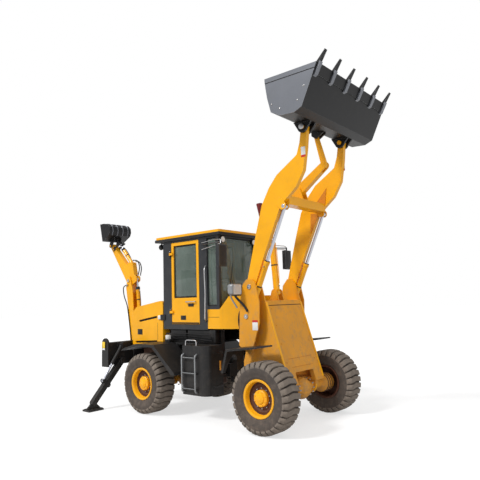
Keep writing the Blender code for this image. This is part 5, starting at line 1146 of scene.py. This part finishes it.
# %% Bezels, bowls and lenses
LAMP_CENTRE = 2.165
BEZEL_FACE = 2.0725
for side, sign in SIDES:
    y = sign * 0.775
    case = slab(side + "_lamp_case", at(1.935, y - 0.11, 2.075), at(2.062, y + 0.11, 2.255), 0.042, 5)
    dressed(case, "lever_grey", "front_body")
    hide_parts(side + "_headlamp")
    bpy.ops.mesh.primitive_plane_add(size=1, location=(0, 0, 0))
    bezel = bpy.context.object
    bezel.name = side + "_lamp_bezel"
    bezel.scale = (0.222, 0.182, 1)
    settled(bezel)
    bpy.ops.object.mode_set(mode="EDIT")
    bpy.ops.mesh.select_all(action="SELECT")
    bpy.ops.mesh.bevel(offset=0.035, segments=4, affect="VERTICES")
    bpy.ops.mesh.select_all(action="SELECT")
    bpy.ops.mesh.inset(thickness=0.016)
    bpy.ops.mesh.extrude_region_move(TRANSFORM_OT_translate={"value": (0, 0, -0.022)})
    bpy.ops.transform.resize(value=(0.72, 0.72, 1))
    bpy.ops.object.mode_set(mode="OBJECT")
    stand = Matrix.Rotation(math.radians(90), 4, "Z") @ Matrix.Rotation(math.radians(90), 4, "X")
    bezel.data.transform(Matrix.Translation(at(BEZEL_FACE, y, LAMP_CENTRE)) @ stand)
    bezel.data.materials.append(materials["lever_grey"])
    bezel.data.materials.append(materials["label_white"])
    face_x = at(BEZEL_FACE, 0, 0).x
    for face in bezel.data.polygons:
        depth = max(abs(bezel.data.vertices[index].co.x - face_x) for index in face.vertices)
        face.material_index = 1 if depth > 0.001 else 0
    shaped(bezel, "SOLIDIFY", thickness=0.004, offset=-1.0)
    smooth(bezel)
    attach(bezel, "front_body")
    clear_lens = slab(side + "_lamp_lens", at(2.068, y - 0.092, 2.092),
                      at(2.0735, y + 0.092, 2.238), 0.0025)
    dressed(clear_lens, "lens_glass", "front_body")
    bulb = rod(side + "_lamp_bulb", at(2.048, y, LAMP_CENTRE), at(2.064, y, LAMP_CENTRE), 0.014, 0.004)
    dressed(bulb, "satin_steel", "front_body")
    bracket_places = [at(2.00, y, 2.085), at(2.03, y - sign * 0.03, 2.02),
                      at(2.13, sign * 0.685, 1.90), at(2.19, sign * 0.672, 1.80)]
    bracket = tube(side + "_lamp_bracket", bracket_places, 0.020, 0.06)
    dressed(bracket, "black_plastic", "front_body")
    for index in range(2):
        loop_y = sign * (0.612 + 0.022 * index)
        hose_places = [at(2.24, loop_y, 1.93), at(2.14, loop_y, 1.80), at(1.99, loop_y, 1.83),
                       at(1.95, loop_y, 1.66), at(1.99, loop_y, 1.46), at(2.07, loop_y, 1.42)]
        hose = tube(f"{side}_ear_hose_{index}", hose_places, 0.011, 0.10)
        dressed(hose, "hose_rubber", "front_body")
    sleeve_places = [at(1.94, y, 2.15), at(1.90, y - sign * 0.01, 2.12),
                     at(1.90, y - sign * 0.04, 2.02), at(1.96, sign * 0.66, 1.86)]
    sleeve = tube(side + "_lamp_sleeve", sleeve_places, 0.014, 0.05)
    dressed(sleeve, "lever_grey", "front_body")
print("headlamps done")

# %% [markdown]
# ## Tower, labels and axles
# The tower's sloped plate has a lighter flange down each edge, a seam at the top, two creases low down
# and small bolts. Its ears carry pins and blank labels. On the axles sit rings of bolts and brake
# drums with ribs.

# %% Tower plate
TOWER_TOP, TOWER_FOOT = at(2.436, 0, 1.966), at(2.85, 0, 0.64)
slope = (TOWER_FOOT - TOWER_TOP).normalized()
outward = Vector((-slope.z, 0, slope.x))


def on_plate(share, y, off=0.0):
    """A place on the sloped plate: share runs from its top to its foot."""
    return TOWER_TOP.lerp(TOWER_FOOT, share) + Vector((0, y, 0)) + outward * off


def plate_strip(name, first, last, y_low, y_high, thick, finish):
    """A flat strip on the sloped plate between two shares."""
    rim_places = ((first, y_low), (first, y_high), (last, y_high), (last, y_low))
    corners = [on_plate(share, y, 0.0005 + lift) for lift in (0.0, thick) for share, y in rim_places]
    piece = from_faces(name, corners, [(0, 1, 2, 3), (7, 6, 5, 4), (0, 4, 5, 1), (1, 5, 6, 2),
                                       (2, 6, 7, 3), (3, 7, 4, 0)])
    shaped(piece, "BEVEL", width=thick * 0.3, segments=2, limit_method="ANGLE")
    return dressed(smooth(piece), finish, "front_body")


for side, sign in SIDES:
    low, high = sorted((sign * 0.470, sign * 0.512))
    plate_strip(side + "_tower_flange", 0.02, 0.97, low, high, 0.008, "amber_enamel")
    for index, share in enumerate((0.10, 0.30, 0.52, 0.74)):
        place = on_plate(share, sign * 0.40)
        bolt = rod(f"{side}_tower_bolt_{index}", place, place + outward * 0.009, 0.014, 0.003, 6)
        dressed(bolt, "dusty_shaded_amber", "front_body")
plate_strip("tower_seam", 0.055, 0.063, -0.465, 0.465, 0.003, "gasket_rubber")
# the two creases are strips of shaded amber: painted shade in the creases
plate_strip("tower_crease_high", 0.70, 0.706, -0.34, 0.34, 0.003, "shaded_amber")
plate_strip("tower_crease_low", 0.80, 0.806, -0.30, 0.30, 0.003, "shaded_amber")
print("the tower's plate is", round((TOWER_FOOT - TOWER_TOP).length, 3), "m long")

# %% Ear pins and blank labels
LABEL_EDGE = 0.0008
for side, sign in SIDES:
    near, far = sign * 0.6605, sign * 0.6635
    label = slab(side + "_ear_label", at(2.275, near, 1.50), at(2.385, far, 1.625), LABEL_EDGE)
    dressed(label, "label_white", "front_body")
    stripe = slab(side + "_ear_label_band", at(2.275, near, 1.625), at(2.385, far, 1.662), LABEL_EDGE)
    dressed(stripe, "label_red", "front_body")
    for index, (x, z) in enumerate(((2.23, 2.20), (2.15, 1.72))):
        head = rod(f"{side}_ear_pin_{index}", at(x, sign * 0.655, z), at(x, sign * 0.676, z),
                   0.040, 0.005, 32)
        dressed(head, "worn_steel", "front_body")
        bolt = rod(f"{side}_ear_pin_bolt_{index}", at(x, sign * 0.675, z), at(x, sign * 0.684, z),
                   0.012, 0.002, 6)
        dressed(bolt, "satin_steel", "front_body")
    near, far = sign * 1.046, sign * 1.049
    card = slab(side + "_end_plate_label", at(-1.30, near, 1.12), at(-1.21, far, 1.24), LABEL_EDGE)
    dressed(card, "label_yellow", "rear_body")
    stripe = slab(side + "_end_plate_label_strip", at(-1.30, near, 1.08), at(-1.21, far, 1.115),
                  LABEL_EDGE)
    dressed(stripe, "label_white", "rear_body")
print("ear pins and labels done")

# %% Axle bolts, drums and arms
BALL_BOLTS, BOLT_CIRCLE = 12, 0.135
DRUM_RIBS, RIB_HALF = (0.64, 0.70, 0.76), 0.008
for end, x, body in (("rear", 0.0, "rear_body"), ("front", WHEELBASE, "front_body")):
    for index in range(BALL_BOLTS):
        angle = math.tau * index / BALL_BOLTS
        away = Vector((math.cos(angle) * BOLT_CIRCLE, 0, math.sin(angle) * BOLT_CIRCLE))
        for side, sign in SIDES:
            bolt = rod(f"{end}_{side}_ball_bolt_{index}", at(x, sign * 0.175, HUB) + away,
                       at(x, sign * 0.212, HUB) + away, 0.012, 0.002, 6)
            dressed(bolt, "worn_steel", body)
    for side, sign in SIDES:
        for index, y in enumerate(DRUM_RIBS):
            rib = rod(f"{end}_{side}_drum_rib_{index}", at(x, sign * (y - RIB_HALF), HUB),
                      at(x, sign * (y + RIB_HALF), HUB), 0.156, 0.004, 48)
            dressed(rib, "cast_iron", body)
        ring = rod(f"{end}_{side}_arm_ring", at(x, sign * 0.30, HUB), at(x, sign * 0.325, HUB),
                   0.115, 0.005, 40)
        dressed(ring, "amber_enamel", body)
print("tower and axles done")

# %% [markdown]
# ## Rams
# A ram's barrel ends in a gland collar with a wiper ring, where the rod comes out. A port near the
# barrel's foot takes a pipe that runs along the barrel, as the oil has to reach both its ends.

# %% Ram collars, ports and pipes
RAMS = (
    # label, barrel's body, base, head, barrel length, barrel radius, rod radius, y, side of the pipe
    ("right_lift", "lift_barrels", (2.15, 1.72), (2.945, 3.44), 0.96, 0.045, 0.027, -0.575, (0.0, -1.0)),
    ("left_lift", "lift_barrels", (2.15, 1.72), (2.945, 3.44), 0.96, 0.045, 0.027, 0.575, (0.0, 1.0)),
    ("tilt", "tilt_barrel_body", (2.30, 2.10), (2.20, 3.52), 0.86, 0.055, 0.027, 0.0, (1.0, 0.0)),
    ("hoe_boom", "boom_barrel_body", (-1.46, 1.11), (-1.60, 1.78), 0.52, 0.042, 0.020, 0.0, (1.0, 0.0)),
    ("hoe_dipper", "dipper_barrel_body", (-1.43, 1.74), (-1.52, 2.52), 0.60, 0.042, 0.020, 0.0, (1.0, 0.0)),
    ("hoe_curl", "curl_barrel_body", (-1.68, 2.86), (-2.13, 3.35), 0.50, 0.042, 0.020, 0.0, (1.0, 0.0)),
)
PIPE_OUT, PIPE_CLOSE = 0.024, 0.016
for label, body, base, head, length, radius, inner, y, (front, across) in RAMS:
    on_hoe = label.startswith("hoe")
    start, end = at(base[0], y, base[1]), at(head[0], y, head[1])
    along = (end - start).normalized()
    gland_end = start + along * length
    collar = band(label + "_gland", gland_end - along * 0.050, gland_end + along * 0.004,
                  radius + 0.006, 0.007)
    dressed(collar, "charcoal_enamel" if on_hoe else "amber_enamel", body)
    ring = band(label + "_wiper_ring", gland_end - along * 0.002, gland_end + along * 0.012,
                radius + 0.001, radius - inner - 0.002)
    dressed(ring, "gasket_rubber", body)
    side_way = Vector((-along.z, 0, along.x)) * -front + Vector((0, across, 0))
    side_way = side_way.normalized()
    foot = start + along * 0.11
    top = gland_end - along * 0.085
    for index, middle in enumerate((foot, top)):
        port = rod(f"{label}_port_{index}", middle + side_way * (radius - 0.006),
                   middle + side_way * (radius + 0.018), 0.012, 0.003, 16)
        dressed(port, "worn_steel", body)
    out, close = side_way * (radius + PIPE_OUT), side_way * (radius + PIPE_CLOSE)
    run = [top + side_way * (radius + 0.012), top + out, top - along * 0.05 + out,
           foot + along * 0.16 + out, foot + along * 0.10 + close, foot + along * 0.045 + close]
    line = tube(label + "_pipe", run, 0.0065, 0.03)
    dressed(line, "frame_black" if on_hoe else "amber_enamel", body)
    middle = start + along * (length * 0.55)
    clip = band(label + "_clip", middle - along * 0.010, middle + along * 0.010, radius + 0.003, 0.004)
    dressed(clip, "frame_black", body)
print("rams dressed:", len(RAMS))

# %% [markdown]
# ## Arms, crank and bucket
# Pins come through the arms' bosses with round bright heads, and at the cross beam two thin plates lie
# on each arm's inner face in shaded amber, which is painted shade. The bucket has a cutting edge, a grey
# adapter over each tooth, and grey sides with a fold along the top and a dark strip of painted shade under
# it.

# %% Pin heads
PINS = (
    # label, x, z, from y, to y, radius
    ("arm_tip", 3.384, 4.615, 0.682, 0.694, 0.046),
    ("lift_head", 2.945, 3.44, 0.612, 0.630, 0.034),
)
for label, x, z, near, far, radius in PINS:
    for side, sign in SIDES:
        head = rod(f"{side}_{label}_pin", at(x, sign * near, z), at(x, sign * far, z), radius, 0.005, 32)
        dressed(head, "satin_steel", "arms_body")
        inner_head = rod(f"{side}_{label}_pin_inside", at(x, sign * 0.538, z), at(x, sign * 0.526, z),
                         radius * 0.8, 0.003, 32)
        dressed(inner_head, "worn_steel", "arms_body")
print("pins through the arms on each side:", len(PINS))

# %% Arm labels and gussets
for side, sign in SIDES:
    near, far = sign * 0.6140, sign * 0.6165
    label = slab(side + "_arm_label", at(3.315, near, 4.185), at(3.395, far, 4.315), LABEL_EDGE)
    dressed(label, "label_white", "arms_body")
    stripe = slab(side + "_arm_label_band", at(3.315, near, 4.150), at(3.395, far, 4.185), LABEL_EDGE)
    dressed(stripe, "label_red", "arms_body")
    inward = (sign * 0.536, sign * 0.524)
    # these two thin plates on the arm's inner face are shaded amber: painted shade
    gusset = sheet(f"{side}_beam_shaded_gusset", ((2.80, 3.60), (3.02, 3.60), (3.06, 3.88)), *inward)
    dressed(gusset, "shaded_amber", "arms_body")
    wedge = sheet(f"{side}_beam_shade_wedge", ((2.72, 3.47), (2.92, 3.47), (2.70, 3.12)), *inward)
    dressed(wedge, "shaded_amber", "arms_body")
print("gussets at the cross beam done")

# %% The dark-red piece at the crank's tail
cup = rod("crank_red_cup", at(2.10, -0.115, 3.42), at(2.07, -0.115, 3.67), 0.028, 0.006, 32, 0.055)
dressed(cup, "dark_red", "crank_body")
holder = rod("crank_cup_holder", at(2.10, -0.10, 3.53), at(2.175, -0.02, 3.525), 0.014, 0.003)
dressed(holder, "worn_steel", "crank_body")
print("cup and its holder done")

# %% Bucket sides, cutting edge, teeth and bolts
BUCKET_SIDE = ((3.04, 5.333), (3.05, 5.204), (3.079, 5.014), (3.138, 4.782), (3.295, 4.694),
               (3.55, 4.674), (3.687, 4.728), (3.971, 5.313))
SIDE_FOLD = ((3.045, 5.265), (3.043, 5.333), (3.971, 5.313), (3.935, 5.240))
FOLD_LINE = ((3.046, 5.253), (3.046, 5.268), (3.936, 5.243), (3.930, 5.228))
SIDE_BOLTS = ((3.16, 4.90), (3.30, 4.80), (3.62, 4.84), (3.74, 5.02))
TEETH, FIRST_TOOTH, TOOTH_PITCH = 6, -1.06, 0.424
TOOTH_HALF = 0.034
for side, sign in SIDES:
    side_plate = sheet(side + "_bucket_side", BUCKET_SIDE, sign * 1.119, sign * 1.1225)
    dressed(side_plate, "side_grey", "bucket_body")
    fold = sheet(side + "_bucket_rim", SIDE_FOLD, sign * 1.120, sign * 1.127)
    dressed(fold, "side_grey", "bucket_body")
    # a dark strip along the fold: painted shade under the bucket's rim
    shade = sheet(side + "_bucket_rim_shade_line", FOLD_LINE, sign * 1.120, sign * 1.124)
    dressed(shade, "gasket_rubber", "bucket_body")
    for index, (x, z) in enumerate(SIDE_BOLTS):
        bolt = rod(f"bucket_side_bolt_{index}_{sign + 1}", at(x, sign * 1.115, z),
                   at(x, sign * 1.127, z), 0.014, 0.002, 6)
        dressed(bolt, "worn_steel", "bucket_body")
lip_start, lip_end = Vector(BUCKET_SIDE[-2]), Vector(BUCKET_SIDE[-1])
lip_way = (lip_end - lip_start).normalized()
lip_out = Vector((lip_way.y, -lip_way.x))
edge_back, edge_proud = lip_end - lip_way * 0.16, lip_out * 0.010
edge_band = (lip_end, edge_back, edge_back + edge_proud, lip_end + edge_proud)
cutting_edge = sheet("bucket_cutting_edge", edge_band, -1.115, 1.115)
dressed(cutting_edge, "bucket_black", "bucket_body")
shank = (lip_end + lip_way * 0.02, lip_end - lip_way * 0.20, lip_end - lip_way * 0.17 + lip_out * 0.030,
         lip_end + lip_way * 0.02 + lip_out * 0.042)
for index in range(TEETH):
    y = FIRST_TOOTH + TOOTH_PITCH * index
    adapter = sheet(f"tooth_adapter_{index}", shank, y - TOOTH_HALF, y + TOOTH_HALF)
    dressed(adapter, "side_grey", "bucket_body")
    middle = at(3.955, y, 5.29)
    bolt = rod(f"tooth_bolt_{index}_0", middle + Vector((0.010, 0, -0.005)),
               middle + Vector((0.027, 0, -0.013)), 0.013, 0.002, 6)
    dressed(bolt, "worn_steel", "bucket_body")
print("bucket and arms done")

# %% [markdown]
# ## Digging arm
# Ribs stiffen the small bucket's back, and pins show as round heads at each knuckle. Two hoses loop
# round the knuckle and two run up the boom. Each is on one body and ends at a fitting near the joint.

# %% Hoe pins
HOE_PINS = (
    # label, x, z, from y, to y, radius, body
    ("foot", -1.60, 0.88, 0.084, 0.108, 0.034, "boom_body"),
    ("knuckle", -1.72, 2.49, 0.084, 0.106, 0.034, "boom_body"),
    ("tip", -2.38, 3.33, 0.054, 0.075, 0.026, "dipper_body"),
)
for label, x, z, near, far, radius, body in HOE_PINS:
    for side, sign in SIDES:
        head = rod(f"{side}_hoe_{label}_pin", at(x, sign * near, z), at(x, sign * far, z),
                   radius, 0.004, 28)
        dressed(head, "satin_steel", body)
print("pins of the digging arm:", len(HOE_PINS))

# %% Ribs and hoses of the digging arm
BACK_LINE = ((-2.158, 3.551), (-2.12, 3.641), (-2.135, 3.74), (-2.211, 3.805), (-2.348, 3.83),
             (-2.49, 3.832))
HOSES = (
    # label, body, places
    ("knuckle_hose_front_0", "dipper_body",
     ((-1.60, 0.035, 2.92), (-1.47, 0.035, 2.90), (-1.40, 0.035, 2.76), (-1.45, 0.035, 2.60))),
    ("knuckle_hose_front_1", "dipper_body",
     ((-1.62, -0.035, 2.94), (-1.45, -0.035, 2.93), (-1.375, -0.035, 2.77), (-1.44, -0.035, 2.60))),
    ("boom_hose_0", "boom_body",
     ((-1.74, -0.105, 2.40), (-1.88, -0.11, 2.36), (-1.86, -0.105, 2.16),
      (-1.74, -0.10, 1.95), (-1.66, -0.10, 1.50), (-1.60, -0.10, 1.15))),
    ("boom_hose_1", "boom_body",
     ((-1.76, 0.105, 2.42), (-1.90, 0.11, 2.36), (-1.88, 0.105, 2.16),
      (-1.75, 0.10, 1.95), (-1.67, 0.10, 1.50), (-1.61, 0.10, 1.15))),
)
HOSE_RADIUS, FITTING_RADIUS = 0.011, 0.016
FITTING_HALF = Vector((0, 0, 0.016))
for index in range(4):
    y = -0.21 + 0.14 * index
    rib = tube(f"hoe_bucket_rib_{index}", [at(x, y, z) for x, z in BACK_LINE], 0.010, 0.03, 2)
    dressed(rib, "side_grey", "hoe_bucket_body")
for label, body, places in HOSES:
    hose = tube(label, [at(*place) for place in places], HOSE_RADIUS, 0.12)
    dressed(hose, "hose_rubber", body)
    for index, place in enumerate((places[0], places[-1])):
        middle = at(*place)
        fitting = rod(f"{label}_fitting_{index}", middle - FITTING_HALF, middle + FITTING_HALF,
                      FITTING_RADIUS, 0.002, 6)
        dressed(fitting, "satin_steel", body)
print("hoses of the digging arm:", len(HOSES))

# %% Ribs on the stabilizers' pads
RIB_HALF_WIDTH = 0.008
for side, sign in SIDES:
    for index in range(3):
        x = -1.07 - 0.075 + 0.075 * index
        rib = slab(f"{side}_pad_rib_{index}", at(x - RIB_HALF_WIDTH, sign * 1.25, 0.029),
                   at(x + RIB_HALF_WIDTH, sign * 1.55, 0.043), 0.003)
        dressed(rib, "frame_black", side + "_leg_body")
print("hoe and stabilizers done")
